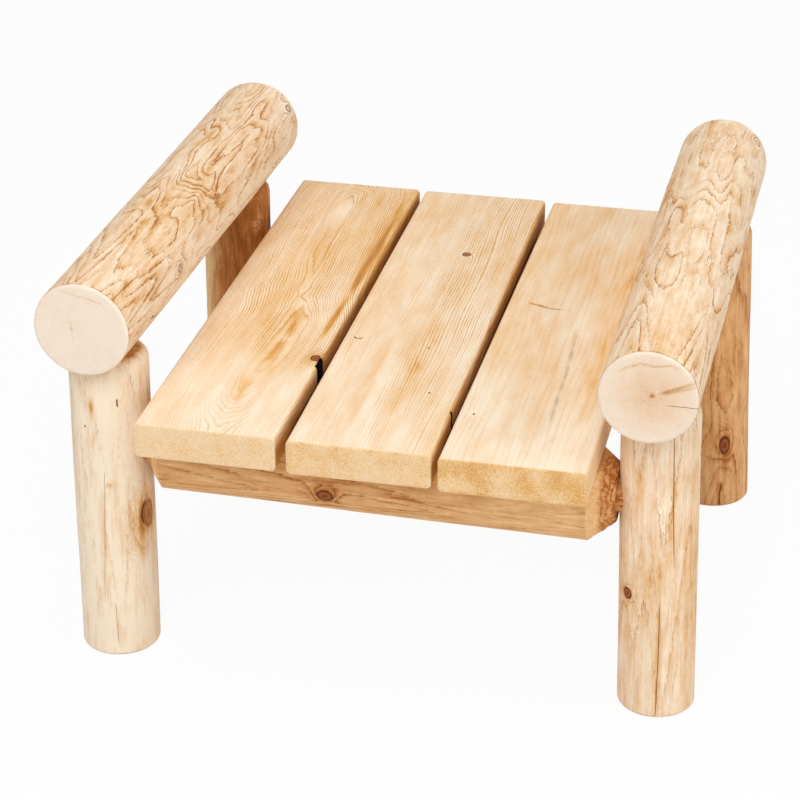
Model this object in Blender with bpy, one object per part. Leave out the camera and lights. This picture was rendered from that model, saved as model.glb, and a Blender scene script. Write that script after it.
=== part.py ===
"""Rustic log ottoman, built the way it is made.

Four log legs are coped at the top to cradle two arm logs, two cross rails with pencil-point ends are
tenoned into the legs, and three seat boards lie on the rails and are screwed to them from below.

Metres, +Z up. The front is -Y, and the origin is on the floor under the middle of the seat.
"""

import math

import bmesh
import bpy
from mathutils import Matrix, Vector

# Clearances
FIT = 0.0003                        # between two pieces that touch
BORE_END = 0.0010                   # spare depth at the end of a blind bore

# Seat boards
SEAT_HEIGHT = 0.2991                # floor to the boards' top
BOARD_WIDTH = 0.1397
BOARD_THICKNESS = 0.0355
BOARD_LENGTH = 0.6200
LEFT_GAP = 0.0083                   # between the left and middle boards
RIGHT_GAP = 0.0077                  # between the middle and right boards
LEFT_BOARD_SETBACK = 0.0021         # how far each board lies behind the middle
MIDDLE_BOARD_SETBACK = 0.0007
RIGHT_BOARD_SETBACK = -0.0021
BOARD_EDGE_RADIUS = 0.0050          # milled round along the four long edges
BOARD_END_EASE = 0.0015
LEFT_BOARD_SKEW = math.radians(-0.07)
MIDDLE_BOARD_SKEW = math.radians(0.32)
RIGHT_BOARD_SKEW = math.radians(0.07)

# Legs
LEG_DIAMETER = 0.0800
LEG_ROW_SPACING = 0.4330            # front legs to back legs, centre to centre
LEG_SIDE_GAP = 0.0114               # seat edge to the top of a leg
LEG_TOE_IN = math.radians(0.48)     # the back legs stand closer together than the front ones
LEG_FOOT_EASE = 0.0040
SADDLE_DEPTH = 0.0035               # leg blank above the arm's underside, before it is coped
LEG_CROWN_HEIGHT = 0.0115           # rounded shoulder at the top of the blank
LEG_CROWN_INSET = 0.0170
FRONT_LEFT_SPLAY = 0.0034           # how far each foot stands out from under its top
FRONT_RIGHT_SPLAY = 0.0078
BACK_LEFT_SPLAY = 0.0036
BACK_RIGHT_SPLAY = 0.0153
FRONT_LEFT_SETBACK = -0.0029        # how far each foot stands back from under its top
FRONT_RIGHT_SETBACK = 0.0041
BACK_LEFT_SETBACK = 0.0
BACK_RIGHT_SETBACK = 0.0025
FRONT_LEFT_GIRTH = -0.0009          # natural difference of each log from the leg diameter
FRONT_RIGHT_GIRTH = -0.0039
BACK_LEFT_GIRTH = -0.0050
BACK_RIGHT_GIRTH = 0.0016

# Arm logs
ARM_CLEARANCE = 0.0286              # seat top to the arms' underside
ARM_INSET = 0.0008                  # arm's centre line inside the legs' tops
ARM_RIM_EASE = 0.0035
LEFT_ARM_FRONT_DIAMETER = 0.0959
LEFT_ARM_BACK_DIAMETER = 0.0969
LEFT_ARM_FRONT_OVERHANG = 0.0605    # past the front legs' centre line
LEFT_ARM_BACK_OVERHANG = 0.0698
LEFT_ARM_TOE_IN = math.radians(1.46)
RIGHT_ARM_FRONT_DIAMETER = 0.0927
RIGHT_ARM_BACK_DIAMETER = 0.0954
RIGHT_ARM_FRONT_OVERHANG = 0.0810
RIGHT_ARM_BACK_OVERHANG = 0.0719
RIGHT_ARM_TOE_IN = math.radians(0.0)

# Cross rails
RAIL_THIN_DIAMETER = 0.0870
RAIL_BUTT_DIAMETER = 0.0970
RAIL_FLAT_DEPTH = 0.0099            # sawn off the thin end's top so that the boards lie flat
THIN_POINT_LENGTH = 0.0189          # pencil points, from the leg to the full log
BUTT_POINT_LENGTH = 0.0260
THIN_TIP_DIAMETER = 0.0410          # where a point ends in its shoulder, against the leg
BUTT_TIP_DIAMETER = 0.0560
POINT_STAND_OFF = 0.0010            # shoulder to the leg's side
TENON_DIAMETER = 0.0380
TENON_PAST_CENTRE = 0.0100          # past the leg's centre line
TENON_CHAMFER = 0.0020

# Hidden dowels between the legs and the arms
DOWEL_DIAMETER = 0.0190
DOWEL_IN_LEG = 0.0450
DOWEL_IN_ARM = 0.0450
DOWEL_CHAMFER = 0.0015

# Countersunk wood screws
SCREW_SHANK_DIAMETER = 0.0048
SCREW_HEAD_DIAMETER = 0.0092
SCREW_HEAD_HEIGHT = 0.0042
SCREW_HEAD_RIM = 0.0006
SCREW_POINT_LENGTH = 0.0080
SCREW_SINK = 0.0015                 # head below the surface of the log
SEAT_SCREW_SPREAD = 0.0800          # between the two screws across a board
SEAT_SCREW_BITE = 0.0240            # into the board
TENON_SCREW_BITE = 0.0060           # into the leg past the tenon

# Facets
LOG_SIDES = 44
DOWEL_SIDES = 24
SCREW_SIDES = 12
ARC_STEPS = 3

# Sizes that follow from those above
LEFT, RIGHT = -1, 1
FRONT, BACK = -1, 1
SEAT_WIDTH = 3 * BOARD_WIDTH + LEFT_GAP + RIGHT_GAP
BOARD_UNDERSIDE = SEAT_HEIGHT - BOARD_THICKNESS
ARM_UNDERSIDE = SEAT_HEIGHT + ARM_CLEARANCE
LEG_SPREAD = SEAT_WIDTH / 2 + LEG_SIDE_GAP + LEG_DIAMETER / 2
ARM_SPREAD = LEG_SPREAD - ARM_INSET
LEG_TOP = ARM_UNDERSIDE + SADDLE_DEPTH
RAIL_HEIGHT = BOARD_UNDERSIDE + RAIL_FLAT_DEPTH - RAIL_THIN_DIAMETER / 2
TENON_RADIUS = TENON_DIAMETER / 2
ROW_Y = {FRONT: -LEG_ROW_SPACING / 2, BACK: LEG_ROW_SPACING / 2}
ALONG_X = Matrix.Rotation(math.radians(90), 4, "Y")
ALONG_Y = Matrix.Rotation(math.radians(-90), 4, "X")
MERGE_DISTANCE = 0.00001

BOARDS = {
    "left": (-SEAT_WIDTH / 2 + BOARD_WIDTH / 2, LEFT_BOARD_SETBACK, LEFT_BOARD_SKEW),
    "middle": (-SEAT_WIDTH / 2 + 1.5 * BOARD_WIDTH + LEFT_GAP, MIDDLE_BOARD_SETBACK, MIDDLE_BOARD_SKEW),
    "right": (SEAT_WIDTH / 2 - BOARD_WIDTH / 2, RIGHT_BOARD_SETBACK, RIGHT_BOARD_SKEW),
}
ARMS = {
    LEFT: (LEFT_ARM_FRONT_DIAMETER, LEFT_ARM_BACK_DIAMETER,
           LEFT_ARM_FRONT_OVERHANG, LEFT_ARM_BACK_OVERHANG, LEFT_ARM_TOE_IN),
    RIGHT: (RIGHT_ARM_FRONT_DIAMETER, RIGHT_ARM_BACK_DIAMETER,
            RIGHT_ARM_FRONT_OVERHANG, RIGHT_ARM_BACK_OVERHANG, RIGHT_ARM_TOE_IN),
}
LEGS = {
    (FRONT, LEFT): (FRONT_LEFT_SPLAY, FRONT_LEFT_SETBACK, LEG_DIAMETER + FRONT_LEFT_GIRTH),
    (FRONT, RIGHT): (FRONT_RIGHT_SPLAY, FRONT_RIGHT_SETBACK, LEG_DIAMETER + FRONT_RIGHT_GIRTH),
    (BACK, LEFT): (BACK_LEFT_SPLAY, BACK_LEFT_SETBACK, LEG_DIAMETER + BACK_LEFT_GIRTH),
    (BACK, RIGHT): (BACK_RIGHT_SPLAY, BACK_RIGHT_SETBACK, LEG_DIAMETER + BACK_RIGHT_GIRTH),
}
SIDE_NAMES = {LEFT: "left", RIGHT: "right"}
ROW_NAMES = {FRONT: "front", BACK: "back"}

# Finishes: colour, roughness and metallic value
LEG_FINISH = ("#DDB582", 0.62, 0.0)
ARM_FINISH = ("#E6C493", 0.60, 0.0)
RAIL_FINISH = ("#CD9558", 0.65, 0.0)
BOARD_FINISH = ("#E8C38C", 0.55, 0.0)
DOWEL_FINISH = ("#D9B98A", 0.60, 0.0)
SCREW_FINISH = ("#B9B6AE", 0.38, 1.0)


# Shared helpers

def clear_scene():
    for thing in list(bpy.data.objects):
        bpy.data.objects.remove(thing, do_unlink=True)


def linear_colour(hex_colour):
    """Turn an sRGB hex value into the linear colour that a shader takes."""
    values = [int(hex_colour[i:i + 2], 16) / 255 for i in (1, 3, 5)]
    return [v / 12.92 if v <= 0.04045 else ((v + 0.055) / 1.055) ** 2.4 for v in values] + [1.0]


def give_finish(piece, finish):
    colour, roughness, metallic = finish
    material = bpy.data.materials.new(piece.name)
    material.use_nodes = True
    shader = material.node_tree.nodes["Principled BSDF"]
    shader.inputs["Base Color"].default_value = linear_colour(colour)
    shader.inputs["Roughness"].default_value = roughness
    shader.inputs["Metallic"].default_value = metallic
    piece.data.materials.append(material)


def add_object(name, shape, parent, place):
    """Turn a bmesh into a smooth-shaded object at a place under its parent."""
    mesh = bpy.data.meshes.new(name)
    shape.to_mesh(mesh)
    shape.free()
    mesh.shade_smooth()
    mesh.set_sharp_from_angle(angle=math.radians(32))
    thing = bpy.data.objects.new(name, mesh)
    bpy.context.scene.collection.objects.link(thing)
    thing.parent = parent
    thing.matrix_local = place
    return thing


def spun(profile, sides):
    """Spin a profile of (radius, height) points, bottom to top, into a closed round shape on +Z."""
    shape = bmesh.new()
    points = [shape.verts.new((radius, 0.0, height)) for radius, height in profile]
    edges = [shape.edges.new(pair) for pair in zip(points, points[1:])]
    bmesh.ops.spin(shape, geom=points + edges, cent=(0, 0, 0), axis=(0, 0, 1),
                   angle=2 * math.pi, steps=sides, use_merge=True)
    bmesh.ops.remove_doubles(shape, verts=shape.verts, dist=MERGE_DISTANCE)
    bmesh.ops.recalc_face_normals(shape, faces=shape.faces)
    return shape


def rounded_rim(radius, end, inset, rise):
    """Points of a rounded rim, bottom to top; a negative rise rounds the top end instead of the bottom."""
    turns = [i / ARC_STEPS * math.pi / 2 for i in range(ARC_STEPS + 1)]
    arc = [(radius - inset + inset * math.sin(t), end + rise * (1 - math.cos(t))) for t in turns]
    return arc if rise > 0 else arc[::-1]


def grown(profile, amount):
    """The same profile with its sides, but not its two centre points, moved out."""
    return [(radius + amount if radius > 0 else 0.0, height) for radius, height in profile]


def add_cutter(name, shape, parent, place):
    cutter = add_object(name, shape, parent, place)
    cutter.hide_render = True
    cutter.display_type = "WIRE"
    return cutter


def cut(piece, cutter):
    hole = piece.modifiers.new(cutter.name, "BOOLEAN")
    hole.operation = "DIFFERENCE"
    hole.solver = "EXACT"
    hole.object = cutter


# Places that several pieces share

def arm_radius(side):
    front, back = ARMS[side][:2]
    return (front + back) / 4


def arm_height(side):
    return ARM_UNDERSIDE + arm_radius(side)


def arm_x(side, y):
    """The arm's centre line at a distance y behind the middle."""
    toe_in = ARMS[side][4]
    return side * (ARM_SPREAD - math.tan(toe_in) * y)


def leg_top(row, side):
    """Where a leg's centre line passes the height of its arm's centre."""
    y = ROW_Y[row]
    return Vector((side * (LEG_SPREAD - math.tan(LEG_TOE_IN) * y), y, arm_height(side)))


def leg_foot(row, side):
    splay, setback = LEGS[row, side][:2]
    top = leg_top(row, side)
    return Vector((top.x + side * splay, top.y + setback, 0.0))


def leg_at(row, side, height):
    """A leg's centre at a height."""
    return leg_foot(row, side).lerp(leg_top(row, side), height / arm_height(side))


def leg_radius(row, side):
    return LEGS[row, side][2] / 2


def leg_inner_x(row, side):
    """The side of a leg that faces the rail, at the rail's height."""
    return leg_at(row, side, RAIL_HEIGHT).x - side * leg_radius(row, side)


def butt_side(row):
    """The rails lie head to tail: the front one has its thick end on the right."""
    return RIGHT if row == FRONT else LEFT


def rail_radius(row, side):
    return (RAIL_BUTT_DIAMETER if side == butt_side(row) else RAIL_THIN_DIAMETER) / 2


def rail_tip_radius(row, side):
    return (BUTT_TIP_DIAMETER if side == butt_side(row) else THIN_TIP_DIAMETER) / 2


def rail_shoulder_x(row, side):
    """Where the full log ends and its pencil point starts."""
    point = BUTT_POINT_LENGTH if side == butt_side(row) else THIN_POINT_LENGTH
    return leg_inner_x(row, side) - side * point


def rail_radius_at(row, x):
    left, right = rail_shoulder_x(row, LEFT), rail_shoulder_x(row, RIGHT)
    share = (x - left) / (right - left)
    return (1 - share) * rail_radius(row, LEFT) + share * rail_radius(row, RIGHT)


def tenon_end_x(row, side):
    return leg_at(row, side, RAIL_HEIGHT).x + side * TENON_PAST_CENTRE


def board_place(key):
    centre_x, setback, skew = BOARDS[key]
    middle = Vector((centre_x, setback, BOARD_UNDERSIDE + BOARD_THICKNESS / 2))
    return Matrix.Translation(middle) @ Matrix.Rotation(skew, 4, "Z")


# Logs

def arm_profile(side):
    front, back, front_overhang, back_overhang = ARMS[side][:4]
    length = LEG_ROW_SPACING + front_overhang + back_overhang
    front_rim = rounded_rim(front / 2, 0.0, ARM_RIM_EASE, ARM_RIM_EASE)
    back_rim = rounded_rim(back / 2, length, ARM_RIM_EASE, -ARM_RIM_EASE)
    return [(0.0, 0.0)] + front_rim + back_rim + [(0.0, length)]


def arm_place(side):
    front_y = ROW_Y[FRONT] - ARMS[side][2]
    start = Vector((arm_x(side, front_y), front_y, arm_height(side)))
    return Matrix.Translation(start) @ Matrix.Rotation(side * ARMS[side][4], 4, "Z") @ ALONG_Y


def make_arm(side, parent):
    shape = spun(arm_profile(side), LOG_SIDES)
    arm = add_object("arm_log_" + SIDE_NAMES[side], shape, parent, arm_place(side))
    give_finish(arm, ARM_FINISH)
    return arm


def make_saddle_cutter(side, parent):
    shape = spun(grown(arm_profile(side), FIT), LOG_SIDES)
    return add_cutter("saddle_" + SIDE_NAMES[side], shape, parent, arm_place(side))


def make_leg(row, side, parent):
    radius = leg_radius(row, side)
    foot = rounded_rim(radius, 0.0, LEG_FOOT_EASE, LEG_FOOT_EASE)
    crown = rounded_rim(radius, LEG_TOP, LEG_CROWN_INSET, -LEG_CROWN_HEIGHT)
    shape = spun([(0.0, 0.0)] + foot + crown + [(0.0, LEG_TOP)], LOG_SIDES)
    lean = (leg_top(row, side) - leg_foot(row, side)) / arm_height(side)
    bmesh.ops.transform(shape, matrix=Matrix.Shear("XY", 4, (lean.x, lean.y)), verts=shape.verts)
    place = Matrix.Translation(leg_foot(row, side))
    leg = add_object("leg_" + ROW_NAMES[row] + "_" + SIDE_NAMES[side], shape, parent, place)
    give_finish(leg, LEG_FINISH)
    return leg


def rail_profile(row):
    """Tenon, pencil point, tapering log, pencil point and tenon, from left to right."""
    start = tenon_end_x(row, LEFT)
    left_tip = leg_inner_x(row, LEFT) + POINT_STAND_OFF
    right_tip = leg_inner_x(row, RIGHT) - POINT_STAND_OFF
    end = tenon_end_x(row, RIGHT)
    outline = [
        (0.0, start),
        (TENON_RADIUS - TENON_CHAMFER, start),
        (TENON_RADIUS, start + TENON_CHAMFER),
        (TENON_RADIUS, left_tip),
        (rail_tip_radius(row, LEFT), left_tip),
        (rail_radius(row, LEFT), rail_shoulder_x(row, LEFT)),
        (rail_radius(row, RIGHT), rail_shoulder_x(row, RIGHT)),
        (rail_tip_radius(row, RIGHT), right_tip),
        (TENON_RADIUS, right_tip),
        (TENON_RADIUS, end - TENON_CHAMFER),
        (TENON_RADIUS - TENON_CHAMFER, end),
        (0.0, end),
    ]
    return [(radius, x - start) for radius, x in outline]


def rail_place(row):
    return Matrix.Translation((tenon_end_x(row, LEFT), ROW_Y[row], RAIL_HEIGHT)) @ ALONG_X


def saw_top(shape, height):
    """Saw everything above a height off a shape, and close the flat."""
    geometry = shape.verts[:] + shape.edges[:] + shape.faces[:]
    sliced = bmesh.ops.bisect_plane(shape, geom=geometry, plane_co=(0, 0, height), plane_no=(0, 0, 1),
                                    clear_outer=True)
    rim = [part for part in sliced["geom_cut"] if isinstance(part, bmesh.types.BMEdge)]
    bmesh.ops.contextual_create(shape, geom=rim)
    bmesh.ops.recalc_face_normals(shape, faces=shape.faces)


def make_rail(row, parent):
    shape = spun(rail_profile(row), LOG_SIDES)
    bmesh.ops.transform(shape, matrix=rail_place(row), verts=shape.verts)
    saw_top(shape, BOARD_UNDERSIDE - FIT)
    bmesh.ops.transform(shape, matrix=rail_place(row).inverted(), verts=shape.verts)
    rail = add_object("cross_rail_" + ROW_NAMES[row], shape, parent, rail_place(row))
    give_finish(rail, RAIL_FINISH)
    return rail


def make_mortise_cutter(row, parent):
    """One round bar along a rail's centre line, which bores the mortises at both ends."""
    start = tenon_end_x(row, LEFT) - BORE_END
    length = tenon_end_x(row, RIGHT) + BORE_END - start
    radius = TENON_RADIUS + FIT
    shape = spun([(0.0, 0.0), (radius, 0.0), (radius, length), (0.0, length)], LOG_SIDES)
    place = Matrix.Translation((start, ROW_Y[row], RAIL_HEIGHT)) @ ALONG_X
    return add_cutter("mortise_" + ROW_NAMES[row], shape, parent, place)


# Seat boards

def make_board(key, parent):
    """A milled board along Y: round long edges, and lightly eased end rims."""
    shape = bmesh.new()
    bmesh.ops.create_cube(shape, size=1.0)
    bmesh.ops.scale(shape, vec=(BOARD_WIDTH, BOARD_LENGTH, BOARD_THICKNESS), verts=shape.verts)
    long_edges = [e for e in shape.edges if abs(e.verts[0].co.y - e.verts[1].co.y) > BOARD_LENGTH / 2]
    bmesh.ops.bevel(shape, geom=long_edges, affect="EDGES", offset=BOARD_EDGE_RADIUS, offset_type="OFFSET",
                    segments=ARC_STEPS, profile=0.5, material=-1)
    ends = [f for f in shape.faces if abs(f.normal.y) > 0.9]
    end_rims = [e for f in ends for e in f.edges]
    bmesh.ops.bevel(shape, geom=end_rims, affect="EDGES", offset=BOARD_END_EASE, offset_type="OFFSET",
                    segments=1, profile=0.5, material=-1)
    board = add_object("seat_board_" + key, shape, parent, board_place(key))
    give_finish(board, BOARD_FINISH)
    return board


# Dowels and screws

def dowel_profile(extra_length):
    """A chamfered dowel from its foot in the leg to its head in the arm, about the arm's underside."""
    foot, head = -DOWEL_IN_LEG - extra_length, DOWEL_IN_ARM + extra_length
    radius = DOWEL_DIAMETER / 2
    rim = radius - DOWEL_CHAMFER
    return [(0.0, foot), (rim, foot), (radius, foot + DOWEL_CHAMFER),
            (radius, head - DOWEL_CHAMFER), (rim, head), (0.0, head)]


def make_dowel(row, side, parent):
    """A dowel and the cutter that bores its hole in the leg and in the arm."""
    name = "arm_dowel_" + ROW_NAMES[row] + "_" + SIDE_NAMES[side]
    place = Matrix.Translation(leg_at(row, side, ARM_UNDERSIDE))
    dowel = add_object(name, spun(dowel_profile(0.0), DOWEL_SIDES), parent, place)
    give_finish(dowel, DOWEL_FINISH)
    bore = spun(grown(dowel_profile(BORE_END), FIT), DOWEL_SIDES)
    return add_cutter(name + "_bore", bore, parent, place)


def screw_profile(length, grow=0.0, mouth=0.0):
    """A countersunk screw with its head's face at height 0, pointing up; the bore is grown, with a mouth."""
    shank, head = SCREW_SHANK_DIAMETER / 2 + grow, SCREW_HEAD_DIAMETER / 2 + grow
    tip = length + grow
    return [(0.0, -mouth), (head, -mouth), (head, SCREW_HEAD_RIM + grow), (shank, SCREW_HEAD_HEIGHT + grow),
            (shank, tip - SCREW_POINT_LENGTH), (0.0, tip)]


def make_screw(name, length, place, parent):
    """A screw and the cutter that bores its hole, whose mouth runs out through the log's side."""
    screw = add_object(name, spun(screw_profile(length), SCREW_SIDES), parent, place)
    give_finish(screw, SCREW_FINISH)
    mouth = SCREW_SINK + SCREW_HEAD_DIAMETER
    bore = spun(screw_profile(length, FIT, mouth), SCREW_SIDES)
    return add_cutter(name + "_bore", bore, parent, place)


def make_seat_screw(number, row, key, across, parent):
    """A screw driven up through a rail into a board."""
    skewed = board_place(key) @ Vector((across, 0.0, 0.0))
    x = skewed.x - BOARDS[key][2] * ROW_Y[row]
    head = RAIL_HEIGHT - rail_radius_at(row, x) + SCREW_SINK
    length = BOARD_UNDERSIDE + SEAT_SCREW_BITE - head
    place = Matrix.Translation((x, ROW_Y[row], head))
    return make_screw("seat_screw_" + ROW_NAMES[row] + "_" + str(number), length, place, parent)


def make_tenon_screw(row, side, parent):
    """A screw driven from the back of a leg through its tenon."""
    centre = leg_at(row, side, RAIL_HEIGHT)
    head = leg_radius(row, side) - SCREW_SINK
    length = head + TENON_RADIUS + TENON_SCREW_BITE
    place = Matrix.Translation(centre + Vector((0.0, head, 0.0)))
    towards_front = Matrix.Rotation(math.radians(90), 4, "X")
    name = "tenon_screw_" + ROW_NAMES[row] + "_" + SIDE_NAMES[side]
    return make_screw(name, length, place @ towards_front, parent)


# The whole ottoman

def make_ottoman():
    clear_scene()
    ottoman = bpy.data.objects.new("ottoman", None)
    bpy.context.scene.collection.objects.link(ottoman)

    arms = {side: make_arm(side, ottoman) for side in ARMS}
    legs = {corner: make_leg(*corner, ottoman) for corner in LEGS}
    rails = {row: make_rail(row, ottoman) for row in ROW_Y}
    boards = {key: make_board(key, ottoman) for key in BOARDS}

    saddles = {side: make_saddle_cutter(side, ottoman) for side in ARMS}
    mortises = {row: make_mortise_cutter(row, ottoman) for row in ROW_Y}
    for (row, side), leg in legs.items():
        cut(leg, saddles[side])
        cut(leg, mortises[row])
        dowel_bore = make_dowel(row, side, ottoman)
        cut(leg, dowel_bore)
        cut(arms[side], dowel_bore)
        screw_bore = make_tenon_screw(row, side, ottoman)
        cut(leg, screw_bore)
        cut(rails[row], screw_bore)

    for row, rail in rails.items():
        number = 0
        for key, board in boards.items():
            for across in (-SEAT_SCREW_SPREAD / 2, SEAT_SCREW_SPREAD / 2):
                number += 1
                screw_bore = make_seat_screw(number, row, key, across, ottoman)
                cut(rail, screw_bore)
                cut(board, screw_bore)


make_ottoman()
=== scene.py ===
"""Log ottoman: peeled logs, planed boards and studio light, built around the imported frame."""

import math
from collections import namedtuple

import bmesh
import bpy
from bpy.props import FloatProperty, FloatVectorProperty, PointerProperty
from mathutils import Matrix, Vector, noise


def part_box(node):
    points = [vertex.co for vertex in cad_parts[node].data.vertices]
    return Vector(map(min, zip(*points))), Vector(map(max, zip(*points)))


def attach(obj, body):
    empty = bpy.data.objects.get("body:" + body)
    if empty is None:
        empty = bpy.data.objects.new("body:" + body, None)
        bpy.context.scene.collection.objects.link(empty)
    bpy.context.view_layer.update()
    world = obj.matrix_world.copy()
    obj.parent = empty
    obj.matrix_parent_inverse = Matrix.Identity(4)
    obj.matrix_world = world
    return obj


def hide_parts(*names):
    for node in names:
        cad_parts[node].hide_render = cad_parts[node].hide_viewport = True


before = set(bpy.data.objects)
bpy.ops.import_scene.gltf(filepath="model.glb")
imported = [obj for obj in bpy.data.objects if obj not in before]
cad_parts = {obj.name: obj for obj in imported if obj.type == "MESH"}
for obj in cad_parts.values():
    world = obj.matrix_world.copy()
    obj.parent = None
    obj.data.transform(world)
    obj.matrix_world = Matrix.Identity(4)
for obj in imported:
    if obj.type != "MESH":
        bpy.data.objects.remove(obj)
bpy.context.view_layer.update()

bl_info = {
    "name": "Log ottoman looks",
    "version": (1, 0, 0),
    "blender": (4, 5, 0),
    "location": "View3D > Sidebar > Ottoman",
    "description": "Dresses the log ottoman in peeled logs and planed boards, and sets up its studio",
    "category": "Object",
}

X, Y, Z = 0, 1, 2
UP = Vector((0, 0, 1))
LIGHT_AIM = Vector((0, 0, 0.25))
MERGE_DISTANCE = 0.00001
PRESS_MERGE = 0.0003            # points that pressing brings closer than this become one
FINE_STEP = 0.0017              # spacing of the points on a wood surface
RIM_PARTS = 5                   # steps round an eased rim
FACING = 0.5                    # least cosine of a face that looks a screw's way

# How knots and checks mark the wood
KNOT_REACH = 5.0                # in knot sizes, as the next three are
KNOT_SWELL = 1.6                # how far a knot lifts the wood
KNOT_TONE_REACH = 2.5                # how far it browns the wood
NO_KNOT = 3.0                   # a place without a knot
KNOT_FIGURE = 0.25              # for each ring that a knot lifts, growth lines show as much more round it
NO_CHECK = 9.0                  # a place without a check, in half widths of it
CHECK_REACH, CHECK_SINK = 3, 1.2    # how far a check is known and how far it sinks, in point spacings
CHECK_STAIN = 0.35              # browner beside a drying check
THIN_ENDS = 5                   # a crack or a streak is as many times as long as each of its thin ends

# How a log's growth lines and tones run
CALM_FADE = 0.050               # over which straight growth lines turn wild
MAX_PACE = 1.5                  # growth rings for each millimetre, past which lines run together
RING_TAPER = 0.200              # along which a log's cone tapers by one ring
LEAST_FIGURE = 0.7              # of a log's growth lines, where they are not broken
CROWN_TONE = 0.80               # browner where the knife rounded a log off
CROWN_DROP = (0.003, 0.010)     # below the log's round, where that begins and is full
SAWN_RIM = (0.0006, 0.0030)     # from a log's end, where sawn wood ends and peeled wood begins
SIDE_RIM = (0.006, 0.002)       # below the log's round, where its swellings begin and are full
END_RING = 0.0028               # ring width on a sawn log end
END_FIGURE = 0.045
END_RING_FADE = (0.005, 0.001)  # from a log end's rim, over which its rings fade
PITH_SIZE, HEARTWOOD_SIZE = 0.0018, 0.036

# Noise in the wood: its strength, the width and the length of its cells, and where it starts
Patches = namedtuple("Patches", "strength wide tall seed")
WEATHERING = Patches(0.22, 0.050, 0.120, 9)         # brown patches on a log
BROKEN_FIGURE = Patches(0.9, 0.016, 0.045, 13)      # growth lines that fade and come back
CHATTER_WANDER = Patches(2.5, 0.010, 0.012, 0)      # knife ripples that wander
END_WOBBLE = Patches(0.9, 0.018, 1.0, 0)            # rings on a log end that are out of round
END_BLOOM = Patches(0.08, 0.012, 1.0, 4)            # blotches on a log end
STRAIGHT_STROKES = Patches(1.0, 0.7, 2.2, 21)       # in widths and lengths of a peeling stroke
FINE_STROKES = Patches(0.35, 0.4, 0.35, 5)          # likewise
POINT_LUMPS = Patches(1.0, 0.009, 0.010, 3.0)       # torn wood of a rail's point
POINT_FIBRES = Patches(1.0, 0.0025, 0.008, 5.0)

# Where the CAD logs and boards are measured
LEG_LOW_CUT = 0.010
LEG_HIGH_CUT = 0.170
ARM_CUT = 0.020                 # from an end
RAIL_CUT = 0.100                # from the middle
BOARD_CUT = 0.250

# Rims, crowns and rail points, as the CAD logs have them
LEG_FOOT_EASE = 0.0040
LEG_CROWN = (0.0170, 0.0115)    # inset and height of the rounded top
ARM_RIM_EASE = 0.0035
BOARD_EDGE_RADIUS = 0.0050
BOARD_END_EASE = 0.0015
GROOVE_WALL = 0.0004
THIN_POINT, BUTT_POINT = 0.0189, 0.0260
THIN_TIP, BUTT_TIP = 0.0410, 0.0560
POINT_STAND_OFF = 0.0010
TENON_DIAMETER = 0.0380
RAIL_BUTT_REACH = 0.110         # from the rail's cut to the widest place
CHAMFER_SHARE = 0.35            # of a rail's point, that was left smooth
CHAMFER_FADE = 0.2              # of it, over which smooth turns to torn
CHAMFER_TONE, TORN_TONE = 0.22, 0.55
LUMP_TONE, FIBRE_TONE = 0.30, 0.35
LUMP_HEIGHT, FIBRE_HEIGHT = 0.0012, 0.0006
POINT_RING = 0.0042             # ring width on a rail's point
POINT_FIGURE = 0.75
RING_LUMPS = 0.9                # rings by which lumps push a line aside
TENON_CLEAR = 0.001             # round a tenon, left smooth

# Screws, countersunk and sunk below the logs' surface
HEAD_RADIUS, HEAD_RIM, HEAD_HEIGHT = 0.0046, 0.0006, 0.0042
SHANK_RADIUS, SCREW_POINT = 0.0024, 0.0080
CROSS_REACH, CROSS_HALF, CROSS_DEPTH, CROSS_WALL = 0.0023, 0.0005, 0.0016, 0.0001
CROSS_SLOPE = 0.6               # share of the cross's depth that is lost towards its ends
BORE_RADIUS = 0.0048
BORE_MARGIN = 1.6               # in bore radii, within which a log's surface is cut finer
BORE_EDGE = 0.9                 # in bore radii, past which points are drawn onto the bore's rim
BORE_CUTS = 3
BORE_FLOOR = 0.0012             # below the face of the screw's head
SCREW_SIDES = 48
HEAD_STEPS = 12


def linear(hex_colour):
    """An sRGB hex colour as linear red, green and blue."""
    shares = [int(hex_colour[i:i + 2], 16) / 255 for i in (1, 3, 5)]
    return tuple(s / 12.92 if s <= 0.04045 else ((s + 0.055) / 1.055) ** 2.4 for s in shares)


# Sizes and colours that a user would change

class OttomanSurface(bpy.types.PropertyGroup):
    """How the wood surface is modelled."""
    step: FloatProperty(
        name="Point spacing", description="Distance between the points of a wood surface",
        default=FINE_STEP, unit="LENGTH")
    stroke_depth: FloatProperty(
        name="Stroke depth", description="How far the peeling strokes leave a log out of round",
        default=0.0007, unit="LENGTH")
    stroke_width: FloatProperty(
        name="Stroke width", description="Width of one stroke of the peeling knife",
        default=0.026, unit="LENGTH")
    stroke_length: FloatProperty(
        name="Stroke length", description="Length of one stroke of the peeling knife",
        default=0.160, unit="LENGTH")


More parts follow.
